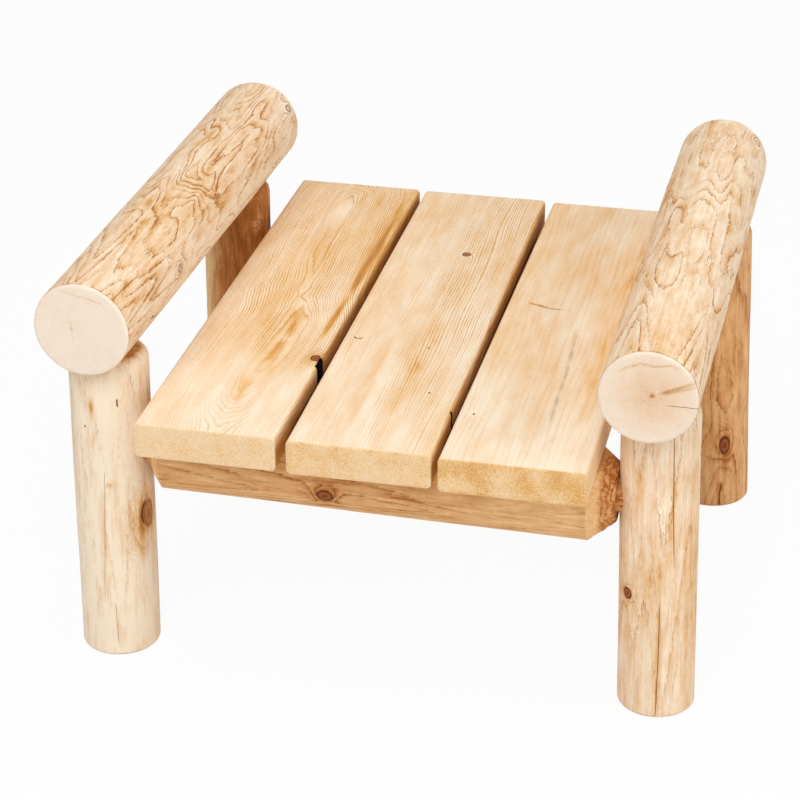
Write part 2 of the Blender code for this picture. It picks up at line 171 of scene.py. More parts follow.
class OttomanColours(bpy.types.PropertyGroup):
    """Colours of the woods and the metal."""
    log_pale: FloatVectorProperty(
        name="Peeled log", description="Clean earlywood of a leg or an arm",
        subtype="COLOR", default=linear("#FBE9CF"))
    log_tan: FloatVectorProperty(
        name="Weathered log", description="Where a leg or an arm has browned",
        subtype="COLOR", default=linear("#DCA257"))
    log_line: FloatVectorProperty(
        name="Growth line", description="Latewood edge that the knife cut through",
        subtype="COLOR", default=linear("#965216"))
    log_end: FloatVectorProperty(
        name="Sawn end", description="End grain of a leg or an arm",
        subtype="COLOR", default=linear("#F4E3D0"))
    rail_pale: FloatVectorProperty(
        name="Rail", description="Clean wood of a cross rail",
        subtype="COLOR", default=linear("#F8CB92"))
    rail_tan: FloatVectorProperty(
        name="Weathered rail", description="Where a cross rail has browned",
        subtype="COLOR", default=linear("#C88344"))
    board_pale: FloatVectorProperty(
        name="Board", description="Clean earlywood of a seat board",
        subtype="COLOR", default=linear("#FBEAD0"))
    board_tan: FloatVectorProperty(
        name="Amber board", description="Resin-rich figure in a seat board",
        subtype="COLOR", default=linear("#EAB468"))
    board_line: FloatVectorProperty(
        name="Board growth line", description="Latewood line in a seat board",
        subtype="COLOR", default=linear("#C08238"))
    board_end: FloatVectorProperty(
        name="Board end", description="End grain of a seat board",
        subtype="COLOR", default=linear("#F0D6B0"))
    knot: FloatVectorProperty(
        name="Knot", description="Heart of a knot",
        subtype="COLOR", default=linear("#A35C2B"))
    steel: FloatVectorProperty(
        name="Zinc plate", description="Plated steel of the screws",
        subtype="COLOR", default=linear("#B9B6AE"))


class OttomanStudio(bpy.types.PropertyGroup):
    """Camera and light."""
    lens: FloatProperty(
        name="Lens", description="Focal length on a 36 mm wide sensor",
        default=114.39, unit="CAMERA")
    camera_place: FloatVectorProperty(
        name="Camera place", description="Where the camera stands",
        default=(0.51232, -2.32009, 1.42035), subtype="TRANSLATION", unit="LENGTH")
    azimuth: FloatProperty(
        name="Azimuth", description="How far the camera stands round to the right of the front",
        default=math.radians(13.146), subtype="ANGLE")
    elevation: FloatProperty(
        name="Elevation", description="How far the camera looks down",
        default=math.radians(27.308), subtype="ANGLE")
    roll: FloatProperty(
        name="Roll", description="Tilt of the camera about its view",
        default=math.radians(-0.287), subtype="ANGLE")
    ambient: FloatProperty(
        name="Ambient", description="Strength of the white room round the ottoman", default=0.312)
    key_power: FloatProperty(
        name="Key light", description="Power of the large soft light above the front",
        default=49.0, unit="POWER")
    top_power: FloatProperty(
        name="Top light", description="Power of the large soft light overhead",
        default=16.0, unit="POWER")
    fill_power: FloatProperty(
        name="Fill light", description="Power of the large soft light on the right",
        default=25.0, unit="POWER")
    softbox_size: FloatProperty(
        name="Softbox size", description="Side of each soft light", default=2.0, unit="LENGTH")


# Wood features: places are read off the photograph and written as real sizes

# A knot has half its width and height, its rise out of the wood, how many rings it bends, the browning
# round it and how much heart it shows, pale inside its bark if negative. Browning alone is a patch of tone,
# the wood's own colour, except that some patches on the legs and arms are painted shade and some, paler,
# are painted light.
Knot = namedtuple("Knot", "at along wide tall rise lift stain heart", defaults=(0.0,) * 4)
Check = namedtuple("Check", "path width depth")
Streak = namedtuple("Streak", "path width amber grey", defaults=(0.0,))

# swing is how many rings the peeling strokes wander through, and calm the stretch where lines run straight.
LogLook = namedtuple("LogLook", "seed swing calm tone figure knots checks")
EndLook = namedtuple("EndLook", "pith heart warmth streaks cracks")

# On a log, a place is degrees round it and metres along it, as the frame counts them.
# Round an arm or rail 90 is up; round a leg -90 is the front.
LOG_LOOKS = {
    "leg_front_left": LogLook(
        1.3, 1.8, (0.0, 0.35), 0.06, 0.40,
        [Knot(-99, 0.283, 0.0011, 0.0035, 0.0, 0.2, 0.90),
         Knot(-111, 0.261, 0.0011, 0.0014, -0.0003, 0.2, 0.05, 0.8),
         Knot(-77, 0.199, 0.0016, 0.0018, 0.0005, 0.8, 0.70, 0.10),
         Knot(-32, 0.142, 0.0070, 0.0110, 0.0, 0.3, 0.40),
         Knot(-18, 0.157, 0.0072, 0.0150, 0.0018, 1.5, 0.72, 0.60),
         Knot(110, 0.240, 0.0060, 0.0070, 0.0012, 2.5, 0.35, 0.9),
         Knot(160, 0.090, 0.0040, 0.0050, 0.0008, 2.0, 0.30, 0.8)],
        [Check([(-83, 0.222), (-88, 0.140), (-94, 0.060)], 0.0003, 0.0001),
         Check([(-77, 0.066), (-76, 0.012)], 0.0003, 0.0001),
         Check([(-61, 0.2945), (-61, 0.2890), (-61, 0.2835)], 0.0014, 0.0010),
         Check([(-21, 0.1760), (-29, 0.1660), (-31, 0.1570), (-28, 0.1460)], 0.0022, 0.0006),
         Check([(95, 0.200), (97, 0.090), (98, -0.020)], 0.0010, 0.0008)]),
    "leg_front_right": LogLook(
        4.1, 2.0, (0.0, 0.35), 0.33, 0.55,
        [Knot(-22, 0.150, 0.0060, 0.0700, stain=0.32),
         Knot(-75, 0.330, 0.0150, 0.0200, stain=-0.26),
         Knot(-108, 0.174, 0.0022, 0.0080, 0.0, 0.4, 0.26),
         Knot(-93, 0.162, 0.0022, 0.0070, 0.0, 0.4, 0.26),
         Knot(-78, 0.152, 0.0022, 0.0080, 0.0, 0.3, 0.22),
         Knot(-131, 0.136, 0.0052, 0.0060, 0.0012, 2.0, 0.40, 1.0),
         Knot(75, 0.120, 0.0070, 0.0080, 0.0014, 2.5, 0.40, 1.0)],
        [Check([(-65, 0.345), (-62, 0.230), (-59, 0.165)], 0.0007, 0.0006),
         Check([(-79, 0.140), (-80, 0.070), (-83, -0.020)], 0.0007, 0.0006)]),
    "leg_back_left": LogLook(
        7.7, 2.4, (0.0, 0.35), 0.62, 0.60,
        # Painted shade: a brown patch down the side that faces the seat
        [Knot(-65, 0.160, 0.0150, 0.1500, stain=0.68),
         # Painted light: a pale strip down the outer side
         Knot(-154, 0.200, 0.0065, 0.1200, stain=-1.40),
         Knot(-35, 0.292, 0.0045, 0.0036, 0.0010, 1.5, -0.35, 0.3),
         Knot(80, 0.170, 0.0065, 0.0080, 0.0014, 2.5, 0.30, 1.0),
         Knot(150, 0.060, 0.0045, 0.0050, 0.0010, 2.0, 0.30, 0.9)],
        [Check([(120, 0.150), (122, 0.060), (121, -0.020)], 0.0010, 0.0008)]),
    "leg_back_right": LogLook(
        9.2, 2.4, (0.15, 0.35), 0.48, 0.85,
        [Knot(-63, 0.079, 0.0058, 0.0105, 0.0014, 2.5, 0.45, 1.0),
         Knot(100, 0.200, 0.0060, 0.0070, 0.0012, 2.5, 0.35, 1.0)],
        [Check([(-66, 0.034), (-70, 0.016), (-70, -0.020)], 0.0013, 0.0010)]),
    "arm_log_left": LogLook(
        12.4, 3.4, (-0.30, -0.12), 0.38, 1.0,
        # Painted light: a paler band along the side that faces the seat
        [Knot(-12, 0.000, 0.0080, 0.1000, stain=-0.60),
         Knot(5, -0.127, 0.0040, 0.0062, 0.0012, 3.0, 0.10, -0.65),
         Knot(50, 0.008, 0.0100, 0.0160, 0.0010, -3.0, 0.10),
         Knot(-17, -0.204, 0.0018, 0.0032, -0.0008, 0.5, 0.10, 1.0),
         Knot(-17, 0.207, 0.0018, 0.0032, -0.0008, 0.5, 0.10, 1.0),
         Knot(32, 0.271, 0.0036, 0.0058, 0.0008, 2.0, -0.40, -0.75),
         Knot(200, -0.060, 0.0065, 0.0085, 0.0014, 2.5, 0.30, 1.0),
         Knot(255, 0.060, 0.0050, 0.0070, 0.0010, 2.5, 0.30, 0.9)],
        [Check([(47, -0.310), (45, -0.245), (42, -0.212)], 0.0006, 0.0004)]),
    "arm_log_right": LogLook(
        16.9, 2.3, (-0.30, -0.19), 0.28, 1.0,
        [Knot(120, -0.130, 0.0120, 0.0300, 0.0008, -1.2, 0.05),
         # Painted shade: a browner band along the side that faces the seat
         Knot(175, 0.000, 0.0090, 0.1000, stain=0.26),
         Knot(40, 0.274, 0.0045, 0.0065, 0.0006, 2.0, 0.0, -0.55),
         Knot(-20, 0.050, 0.0060, 0.0085, 0.0014, 2.5, 0.30, 1.0),
         Knot(-80, -0.050, 0.0050, 0.0070, 0.0010, 2.5, 0.30, 0.9)],
        []),
    "cross_rail_front": LogLook(
        21.5, 2.6, (-0.25, 0.25), 0.42, 0.8,
        [Knot(190, -0.060, 0.0200, 0.0400, stain=0.15),
         Knot(190, 0.150, 0.0200, 0.0250, stain=-0.22),
         Knot(197, -0.0435, 0.0062, 0.0080, 0.0015, 3.0, 0.45, 1.0),
         Knot(350, 0.090, 0.0060, 0.0070, 0.0012, 2.5, 0.35, 1.0)],
        [Check([(262, -0.160), (265, -0.060), (263, 0.010)], 0.0009, 0.0007)]),
    "cross_rail_back": LogLook(
        25.1, 2.6, (-0.25, 0.25), 0.48, 0.8,
        [Knot(10, 0.060, 0.0065, 0.0080, 0.0015, 3.0, 0.40, 1.0),
         Knot(200, -0.100, 0.0055, 0.0070, 0.0012, 2.5, 0.35, 1.0)],
        [Check([(-20, -0.150), (-18, -0.050), (-21, 0.020)], 0.0009, 0.0007)]),
}

# Ripples that a chattering knife left, with their pitch and depth
Chatter = namedtuple("Chatter", "at along wide tall pitch depth")
CHATTER_TONE = 0.22
CHATTER_SLANT = 0.8
CHATTER = {
    "leg_front_left": [Chatter(-33, 0.196, 0.0110, 0.0160, 0.0052, 0.00035),
                       Chatter(-42, 0.118, 0.0120, 0.0100, 0.0060, 0.00035)],
    "leg_back_right": [Chatter(-62, 0.104, 0.0120, 0.0070, 0.0055, 0.00035)],
    "arm_log_left": [Chatter(9, -0.092, 0.0130, 0.0110, 0.0056, 0.00035)],
    "arm_log_right": [Chatter(70, 0.120, 0.0140, 0.0160, 0.0058, 0.00025)],
}

# On a log's end, a place is metres to the right of and above its centre, as seen from the front.
END_LOOKS = {
    "arm_log_left": EndLook(
        (-0.0092, 0.0010), 0.40, 0.05,
        [Streak([(-0.0100, 0.0110), (-0.0092, 0.0010), (-0.0080, -0.0130)], 0.0011, 0.20, 0.08),
         Streak([(-0.026, 0.0420), (-0.010, 0.0385), (-0.003, 0.0365), (0.008, 0.0345), (0.021, 0.0310),
                 (0.030, 0.0215)], 0.0009, 0.40)],
        []),
    "arm_log_right": EndLook(
        (0.0036, 0.0032), 0.85, 0.50,
        [Streak([(0.0090, 0.0055), (0.026, 0.0130), (0.060, 0.0280)], 0.0012, 0.45, 0.10),
         Streak([(0.0120, 0.0050), (0.027, 0.0105), (0.060, 0.0220)], 0.0018, 0.35, 0.05),
         Streak([(-0.0300, 0.0230), (-0.0216, 0.0285), (-0.008, 0.0345), (0.006, 0.0325), (0.0202, 0.0351),
                 (0.0300, 0.0300)], 0.0010, 0.50)],
        [Check([(0.0150, -0.0052), (0.0320, -0.0050), (0.0600, -0.0060)], 0.0005, 0.0002)]),
}
PLAIN_END = EndLook((0.004, -0.003), 0.60, 0.25, [], [])

# On a board, a place is metres to the right of its middle and metres behind the ottoman's middle.
# A groove is a notch in the board's right edge, painted shade black inside, which begins at a depth below
# its top.
Groove = namedtuple("Groove", "along width depth top")
BoardLook = namedtuple("BoardLook", "seed tone front_tone end_tone knots checks streaks grooves")
BOARD_LOOKS = {
    "seat_board_left": BoardLook(
        31.2, 0.42, -0.34, 0.25,
        [Knot(0.0640, -0.1370, 0.0046, 0.0062, 0.0, 3.5, 0.50, 1.0)],
        [],
        [Streak([(0.060, 0.300), (0.061, 0.060), (0.0595, -0.040), (0.058, -0.105)], 0.0036, 0.95),
         Streak([(0.024, -0.020), (0.022, -0.060), (0.024, -0.100)], 0.0070, 0.35),
         Streak([(0.023, -0.100), (0.020, -0.130), (0.018, -0.160)], 0.0060, 0.35),
         Streak([(0.014, -0.190), (0.012, -0.220), (0.010, -0.250)], 0.0060, 0.30)],
        [Groove(-0.1432, 0.0222, 0.0110, 0.0010)]),
    "seat_board_middle": BoardLook(
        36.8, 0.40, -0.10, 0.40,
        [Knot(0.0115, 0.146, 0.0044, 0.0050, -0.0016, 2.5, -0.15, 0.8),
         Knot(0.0200, -0.089, 0.0012, 0.0016, -0.0004, 0.0, 0.0, 0.9),
         Knot(0.0412, -0.185, 0.0012, 0.0016, -0.0004, 0.0, 0.0, 0.9)],
        [Check([(-0.0600, -0.077), (-0.0565, -0.0825), (-0.0520, -0.0825), (-0.0495, -0.078)],
               0.0014, 0.0004)],
        [Streak([(-0.020, -0.060), (-0.023, -0.180), (-0.024, -0.310)], 0.0080, 0.22),
         Streak([(0.016, -0.100), (0.014, -0.200), (0.014, -0.310)], 0.0060, 0.22)],
        [Groove(-0.2165, 0.0060, 0.0090, 0.0024)]),
    "seat_board_right": BoardLook(
        41.4, 0.33, -0.22, 0.65,
        [Knot(-0.0545, -0.216, 0.0012, 0.0020, -0.0004, 0.0, -0.60, 1.0)],
        [Check([(-0.0475, 0.040), (-0.0365, 0.0365), (-0.0250, 0.0320), (-0.0070, 0.0310)],
               0.0010, 0.0005)],
        [Streak([(0.0085, 0.000), (0.0145, -0.066), (0.0175, -0.118), (0.0178, -0.173), (0.0205, -0.250)],
                0.0016, 0.10, 0.45),
         Streak([(0.050, 0.300), (0.046, 0.000), (0.050, -0.310)], 0.0140, 0.25),
         Streak([(-0.0520, 0.042), (-0.0400, 0.0375), (-0.0250, 0.0325)], 0.0030, 0.45)],
        []),
}

# check and split also carry the painted shade in the gaps between boards and inside the grooves, and tone
# carries some painted shade and painted light
WOOD_VALUES = ("growth", "pace", "figure", "knot", "heart", "check", "split", "tone", "grey", "sawn")


# Shapes

def cut_round(node, axis, at):
    """Centre, half width and half height of a CAD piece where a plane square to an axis cuts it."""
    shape = bmesh.new()
    shape.from_mesh(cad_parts[node].data)
    bmesh.ops.remove_doubles(shape, verts=shape.verts, dist=MERGE_DISTANCE)
    square = Vector((axis == X, axis == Y, axis == Z))
    geometry = shape.verts[:] + shape.edges[:] + shape.faces[:]
    sliced = bmesh.ops.bisect_plane(shape, geom=geometry, plane_co=square * at, plane_no=square)
    rim = [part.co.copy() for part in sliced["geom_cut"] if isinstance(part, bmesh.types.BMVert)]
    shape.free()
    low = Vector([min(point[i] for point in rim) for i in range(3)])
    high = Vector([max(point[i] for point in rim) for i in range(3)])
    return (low + high) / 2, (high - low) / 2


def steps_between(start, end, spacing):
    """Evenly spaced values from start up to, but not at, end."""
    count = max(1, round(abs(end - start) / spacing))
    return [start + (end - start) * i / count for i in range(count)]


def rounded_corner(radius, height, inset, rise):
    """Points of a rounded rim from an end face out to the side; a negative rise is a rim at the top."""
    turns = [i / RIM_PARTS * math.pi / 2 for i in range(RIM_PARTS + 1)]
    return [(radius - inset + inset * math.sin(t), height + rise * (1 - math.cos(t))) for t in turns]


def fine_profile(corners, spacing):
    """The straight runs of a profile, cut into short steps."""
    runs = [[(a[0] + (b[0] - a[0]) * share, a[1] + (b[1] - a[1]) * share)
             for share in steps_between(0.0, 1.0, spacing / math.dist(a, b))]
            for a, b in zip(corners, corners[1:])]
    return sum(runs, []) + corners[-1:]


def log_profile(length, start_radius, end_radius, start_ease, end_ease, spacing):
    """Profile of a log from the middle of its bottom end up its side to the middle of its top end."""
    bottom = rounded_corner(start_radius, 0.0, *start_ease)
    top = rounded_corner(end_radius, length, end_ease[0], -end_ease[1])[::-1]
    return fine_profile([(0.0, 0.0)] + bottom + top + [(0.0, length)], spacing)


def settled(shape):
    """The same shape with its faces in an order that is the same in every run."""
    shape.verts.index_update()
    loops = [[vert.index for vert in face.verts] for face in shape.faces]
    starts = [loop.index(min(loop)) for loop in loops]
    copy = bmesh.new()
    points = [copy.verts.new(vert.co) for vert in shape.verts]
    for loop in sorted(loop[start:] + loop[:start] for loop, start in zip(loops, starts)):
        copy.faces.new([points[i] for i in loop])
    copy.normal_update()
    shape.free()
    return copy


def spun(profile, sides):
    """Spin a profile of (radius, height) points into a closed round shape on +Z."""
    shape = bmesh.new()
    points = [shape.verts.new((radius, 0.0, height)) for radius, height in profile]
    edges = [shape.edges.new(pair) for pair in zip(points, points[1:])]
    bmesh.ops.spin(shape, geom=points + edges, cent=(0, 0, 0), axis=(0, 0, 1),
                   angle=2 * math.pi, steps=sides, use_merge=True)
    bmesh.ops.remove_doubles(shape, verts=shape.verts, dist=MERGE_DISTANCE)
    bmesh.ops.recalc_face_normals(shape, faces=shape.faces)
    return settled(shape)


def swirl(point, wide, tall, seed):
    """Smooth noise from -1 to 1 with its cells stretched along the grain."""
    return noise.noise(Vector((point.x / wide, point.y / wide, point.z / tall + seed)))


def patchy(point, patches, seed=0):
    """Noise of some patches at a point of the wood."""
    return patches.strength * swirl(point, patches.wide, patches.tall, seed + patches.seed)


def smooth_step(low, high, value):
    """0 up to low, 1 from high on, and a smooth rise between them."""
    share = min(1.0, max(0.0, (value - low) / (high - low)))
    return share * share * (3 - 2 * share)


def wood_layers(shape):
    """Empty layers for the values that wood is painted from."""
    layers = {name: shape.verts.layers.float.new(name) for name in WOOD_VALUES}
    layers["grain"] = shape.verts.layers.float_vector.new("grain")
    return layers


def knot_effect(knots, offset_to):
    """How the knots round a point raise, bend and colour the wood there, and how far off the nearest is."""
    rise = lift = stain = drawn = heart = 0.0
    nearest = NO_KNOT
    for knot in knots:
        aside, beyond = offset_to(knot)
        away = math.hypot(aside / knot.wide, beyond / knot.tall)
        if away < KNOT_REACH:
            near = math.exp(-(away / KNOT_SWELL) ** 2)
            around = math.exp(-(away / KNOT_TONE_REACH) ** 2)
            rise += knot.rise * near
            lift += knot.lift * near
            stain += knot.stain * around
            drawn += KNOT_FIGURE * abs(knot.lift) * around
            if knot.heart and away < nearest:
                nearest, heart = away, knot.heart
    return rise, lift, stain, drawn, nearest, heart


def path_offset(path, point):
    """Signed distance of a point from a path, and how far along the path it is, from 0 to 1."""
    nearest = None
    for i, (a, b) in enumerate(zip(path, path[1:])):
        run = b - a
        share = min(1.0, max(0.0, (point - a).dot(run) / run.length_squared))
        away = (point - a.lerp(b, share)).length
        if nearest is None or away < nearest[0]:
            side = (point - a).dot(Vector((-run.y, run.x)))
            nearest = (away, math.copysign(away, side), (i + share) / (len(path) - 1))
    return nearest[1:]


def thinning(share):
    """How a crack or a streak thins out towards its ends."""
    return min(1.0, THIN_ENDS * share, THIN_ENDS * (1 - share))


def open_checks(checks, paths, place, spacing):
    """Where a place lies across the nearest check, in half widths, how near it is and how far it sinks."""
    check_at, split, sink = NO_CHECK, 0.0, 0.0
    for path, check in zip(paths, checks):
        offset, share = path_offset(path, place)
        open_here = thinning(share)
        near = open_here * max(0.0, 1 - abs(offset) / (CHECK_REACH * spacing))
        if near > split:
            check_at = max(-NO_CHECK, min(NO_CHECK, 2 * offset / (check.width * open_here)))
            split = near
            sink = check.depth * open_here * max(0.0, 1 - abs(offset) / (CHECK_SINK * spacing))
    return check_at, split, sink


def streak_effect(streaks, place):
    """How much amber and how much grey the streaks bring to a place."""
    amber = grey = 0.0
    for streak in streaks:
        offset, share = path_offset([Vector(at) for at in streak.path], place)
        near = math.exp(-(offset / streak.width) ** 2) * thinning(share)
        amber += streak.amber * near
        grey += streak.grey * near
    return amber, grey


def peeled_growth(point, look, surface, calm):
    """Growth rings that the knife went through: tapered cones under wavy strokes, straighter where calm."""
    wide, tall = surface.stroke_width, surface.stroke_length
    straight, fine = [
        strokes.strength * swirl(point, strokes.wide * wide, strokes.tall * tall, look.seed + strokes.seed)
        for strokes in (STRAIGHT_STROKES, FINE_STROKES)]
    wild = swirl(point, wide, tall, look.seed) + fine
    return look.swing * (point.z / RING_TAPER + calm * straight + (1 - calm) * wild)


def end_grain(place, end, seed, spacing):
    """Rings, tone, grey and crack of a sawn log end at a place on it."""
    away = (place - Vector(end.pith)).length
    rings = away / END_RING + patchy(place.to_3d(), END_WOBBLE, seed)
    amber, grey = streak_effect(end.streaks, place)
    amber += end.heart * math.exp(-(away / PITH_SIZE) ** 2)
    amber += end.warmth * math.exp(-(away / HEARTWOOD_SIZE) ** 2)
    amber += patchy(place.to_3d(), END_BLOOM, seed)
    cracks = [[Vector(at) for at in crack.path] for crack in end.cracks]
    return rings, amber, grey, open_checks(end.cracks, cracks, place, spacing)


def set_pace(shape, layers):
    """How many growth rings go by for each millimetre of the surface."""
    growth, pace = layers["growth"], layers["pace"]
    for vert in shape.verts:
        slopes = [abs(edge.other_vert(vert)[growth] - vert[growth]) / edge.calc_length()
                  for edge in vert.link_edges]
        vert[pace] = min(MAX_PACE, max(slopes) / 1000)


def dress_log(shape, node, surface, length, radius, along_at):
    """Work a round log by hand: peeling strokes, knots, checks, and the values that its wood is painted
    from. along_at turns a height in the shape into the place along the log that its looks are given in."""
    look = LOG_LOOKS[node]
    end = END_LOOKS.get(node, PLAIN_END)
    layers = wood_layers(shape)
    paths = [[Vector((math.radians(turn) * radius, along)) for turn, along in check.path]
             for check in look.checks]
    girth = 2 * math.pi * radius
    look_middle = sum((path[0].x for path in paths), 0.0) / max(1, len(paths))
    for vert in shape.verts:
        point = vert.co.copy()
        reach = math.hypot(point.x, point.y)
        round_at = math.atan2(point.y, point.x) * radius
        along = along_at(point.z)
        calm = smooth_step(look.calm[0] - CALM_FADE, look.calm[0], along)
        calm *= 1 - smooth_step(look.calm[1], look.calm[1] + CALM_FADE, along)
        growth = peeled_growth(point, look, surface, calm)
        strokes = swirl(point, surface.stroke_width, surface.stroke_length, look.seed)
        tone = look.tone + patchy(point, WEATHERING, look.seed)
        tone += CROWN_TONE * smooth_step(*CROWN_DROP, radius - reach)
        figure = look.figure * max(0.0, LEAST_FIGURE + patchy(point, BROKEN_FIGURE, look.seed))
        from_end = point.z if node.startswith("leg") else min(point.z, length - point.z)
        sawn = 1.0 - smooth_step(*SAWN_RIM, from_end)
        side = smooth_step(radius - SIDE_RIM[0], radius - SIDE_RIM[1], reach) * (1 - sawn)

        def offset_to(knot):
            aside = round_at - math.radians(knot.at) * radius
            return (aside + girth / 2) % girth - girth / 2, along - knot.along

        rise, lift, stain, drawn, knot_at, heart = knot_effect(look.knots, offset_to)
        figure += drawn
        for chatter in CHATTER.get(node, []):
            aside, beyond = offset_to(chatter)
            near = math.exp(-(aside / chatter.wide) ** 2 - (beyond / chatter.tall) ** 2)
            turn = 2 * math.pi * (beyond + CHATTER_SLANT * aside) / chatter.pitch
            wave = near * math.sin(turn + patchy(point, CHATTER_WANDER, look.seed))
            rise += chatter.depth * wave
            tone += CHATTER_TONE * wave
        wrapped = (round_at - look_middle + girth / 2) % girth - girth / 2 + look_middle
        check_at, split, sink = open_checks(look.checks, paths, Vector((wrapped, along)), surface.step)
        stain += CHECK_STAIN * split
        grey = 0.0
        if sawn > 0.5:
            growth, tone, grey, (check_at, split, sink) = end_grain(point.xy, end, look.seed, surface.step)
            rim_fade = smooth_step(radius - END_RING_FADE[0], radius - END_RING_FADE[1], reach)
            figure = END_FIGURE * (1 - rim_fade)
            lift = stain = heart = 0.0
        elif reach > 0:
            swell = (surface.stroke_depth * strokes + rise) * side - sink
            vert.co += Vector((point.x, point.y, 0.0)) / reach * swell
        found = (growth + lift, 0.0, figure, knot_at, heart, check_at, split, tone + stain, grey, sawn)
        for name, value in zip(WOOD_VALUES, found):
            vert[layers[name]] = value
        vert[layers["grain"]] = point + Vector((0, 0, look.seed))
    set_pace(shape, layers)


def add_piece(name, shape, node, material):
    """Make a mesh object from a shape, to stand for a CAD node."""
    mesh = bpy.data.meshes.new(name)
    shape.to_mesh(mesh)
    shape.free()
    mesh.shade_smooth()
    mesh.materials.append(material)
    piece = bpy.data.objects.new(name, mesh)
    bpy.context.scene.collection.objects.link(piece)
    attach(piece, "root")
    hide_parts(node)
    return piece


# Materials

def add_node(tree, kind, inputs=None, out=0, **settings):
    """Add a node, set its properties, set or link its inputs, and give one of its outputs."""
    node = tree.nodes.new(kind)
    for key, value in settings.items():
        setattr(node, key, value)
    for socket, value in (inputs or {}).items():
        if isinstance(value, bpy.types.NodeSocket):
            tree.links.new(value, node.inputs[socket])
        else:
            node.inputs[socket].default_value = value
    return node.outputs[out] if node.outputs else None


def new_tree(name):
    """A new material and its empty node tree."""
    material = bpy.data.materials.new(name)
    material.use_nodes = True
    material.node_tree.nodes.clear()
    return material, material.node_tree


# Noise in the wood's colour: the width and the length of its cells, and its detail
WOOD_NOISES = {
    "fibre": (0.0009, 0.006, 2.0),
    "bundle": (0.0015, 0.014, 3.0),
    "streak": (0.004, 0.110, 3.0),
    "mottle": (0.009, 0.030, 4.0),
    "speck": (0.0013, 0.0013, 3.0),
}

# Marks that all the woods share
GREY_WOOD, BARK = "#7F7050", "#64300F"
# The check brown also paints the shade deep in the gaps between boards, and the hollow black is painted
# shade inside a groove
CHECK_AND_GAP_SHADE_BROWN, GROOVE_SHADE_BLACK = "#6A320C", "#0C0503"
YEAR_RANGE = (0.55, 1.40)           # how much growth lines differ from year to year
LATE_CURVE, LATE_TONE = 2.5, 0.55   # how steeply amber leads up to a line, and how strong it is
WOOD_DEEP = (0.75, 1.6)             # tones at which wood is past tan, and as brown as a growth line
END_DEEP = (0.45, 1.7)              # likewise on a sawn end
STREAK_SHARE, FIBRE_SHARE = 0.7, 0.5            # of the mottling
SPECK_SHARE, PATCH_SHARE = 1.9, 0.6             # of the speckling on a sawn end
KNOT_SHAKE, KNOT_RINGS, BARK_PLACE = 0.5, 20.0, 0.95
KNOT_RING_FROM, KNOT_RING_DARK = 0.1, 0.60
HEART_FADE = (0.90, 1.05, 1.0)      # in knot sizes, where a heart fades and is gone, and its strength
PITH_FADE = (0.10, 0.55, 0.85)      # likewise
BARK_FADE = (0.05, 0.22, 1.0)       # likewise, to both sides of the bark's place
BARK_SHOWS = (0.4, 0.8)             # how much heart a knot has where bark begins to show and is full
CHECK_EDGE = (0.7, 1.4)             # in half widths of a check, where its dark begins to fade and is gone
CHECK_SURE, GROOVE_SHADE_SPLITS = (0.1, 0.3), (1.0, 2.0)
WOOD_ROUGH, DULL_ROUGH, WOOD_SPECULAR = 0.66, 0.95, 0.25
BUNDLE_RELIEF, LATE_RELIEF = 0.7, 0.3
BUMP_STRENGTH, BUMP_HEIGHT = 0.6, 0.0006


def wood_noises(tree):
    """Noise about 0, drawn out along the grain, for each kind of mark in the wood."""
    grain = add_node(tree, "ShaderNodeAttribute", out="Vector", attribute_name="grain")
    noises = {}
    for key, (wide, tall, detail) in WOOD_NOISES.items():
        place = add_node(tree, "ShaderNodeVectorMath", {0: grain, 1: (1 / wide, 1 / wide, 1 / tall)},
                         operation="MULTIPLY")
        found = add_node(tree, "ShaderNodeTexNoise",
                         {"Vector": place, "Scale": 1.0, "Detail": detail, "Roughness": 0.6})
        noises[key] = add_node(tree, "ShaderNodeMath", {0: found, 1: -0.5}, operation="ADD")
    return noises


def growth_lines(tree, values, noises, line_width, line_share, torn):
    """How much of a crisp latewood edge, torn along the fibre, and of the amber up to it is at a place."""
    along_grain = add_node(tree, "ShaderNodeMath", {0: 1.0, 1: values["sawn"]}, operation="SUBTRACT")
    torn_here = add_node(tree, "ShaderNodeMath", {0: along_grain, 1: torn}, operation="MULTIPLY")
    ring = add_node(tree, "ShaderNodeMath", {0: noises["bundle"], 1: torn_here, 2: values["growth"]},
                    operation="MULTIPLY_ADD")
    turn = add_node(tree, "ShaderNodeMath", {0: ring}, operation="FRACT")
    inside = add_node(tree, "ShaderNodeMath", {0: 1.0, 1: turn}, operation="SUBTRACT")
    width = add_node(tree, "ShaderNodeMath", {0: values["pace"], 1: line_width, 2: line_share},
                     operation="MULTIPLY_ADD")
    edge = add_node(tree, "ShaderNodeMapRange",
                    {"Value": inside, "From Max": width, "To Min": 1.0, "To Max": 0.0})
    count = add_node(tree, "ShaderNodeMath", {0: ring}, operation="FLOOR")
    year = add_node(tree, "ShaderNodeTexWhiteNoise", {"W": count}, noise_dimensions="1D")
    strength = add_node(tree, "ShaderNodeMapRange",
                        {"Value": year, "To Min": YEAR_RANGE[0], "To Max": YEAR_RANGE[1]})
    figure = add_node(tree, "ShaderNodeMath", {0: strength, 1: values["figure"]}, operation="MULTIPLY")
    line_here = add_node(tree, "ShaderNodeMath", {0: edge, 1: figure}, operation="MULTIPLY", use_clamp=True)
    late = add_node(tree, "ShaderNodeMath", {0: turn, 1: LATE_CURVE}, operation="POWER")
    late_here = add_node(tree, "ShaderNodeMath", {0: late, 1: figure}, operation="MULTIPLY")
    return line_here, late_here


def toned_wood(tree, tone, clean, tan, line, deep_from_to):
    """Clean wood that turns tan, and then as brown as a growth line, as its tone rises."""
    deep = add_node(tree, "ShaderNodeMapRange",
                    {"Value": tone, "From Min": deep_from_to[0], "From Max": deep_from_to[1]})
    tanned = add_node(tree, "ShaderNodeMix", {0: tone, 6: (*clean, 1), 7: (*tan, 1)},
                      out=2, data_type="RGBA")
    return add_node(tree, "ShaderNodeMix", {0: deep, 6: tanned, 7: (*line, 1)}, out=2, data_type="RGBA")


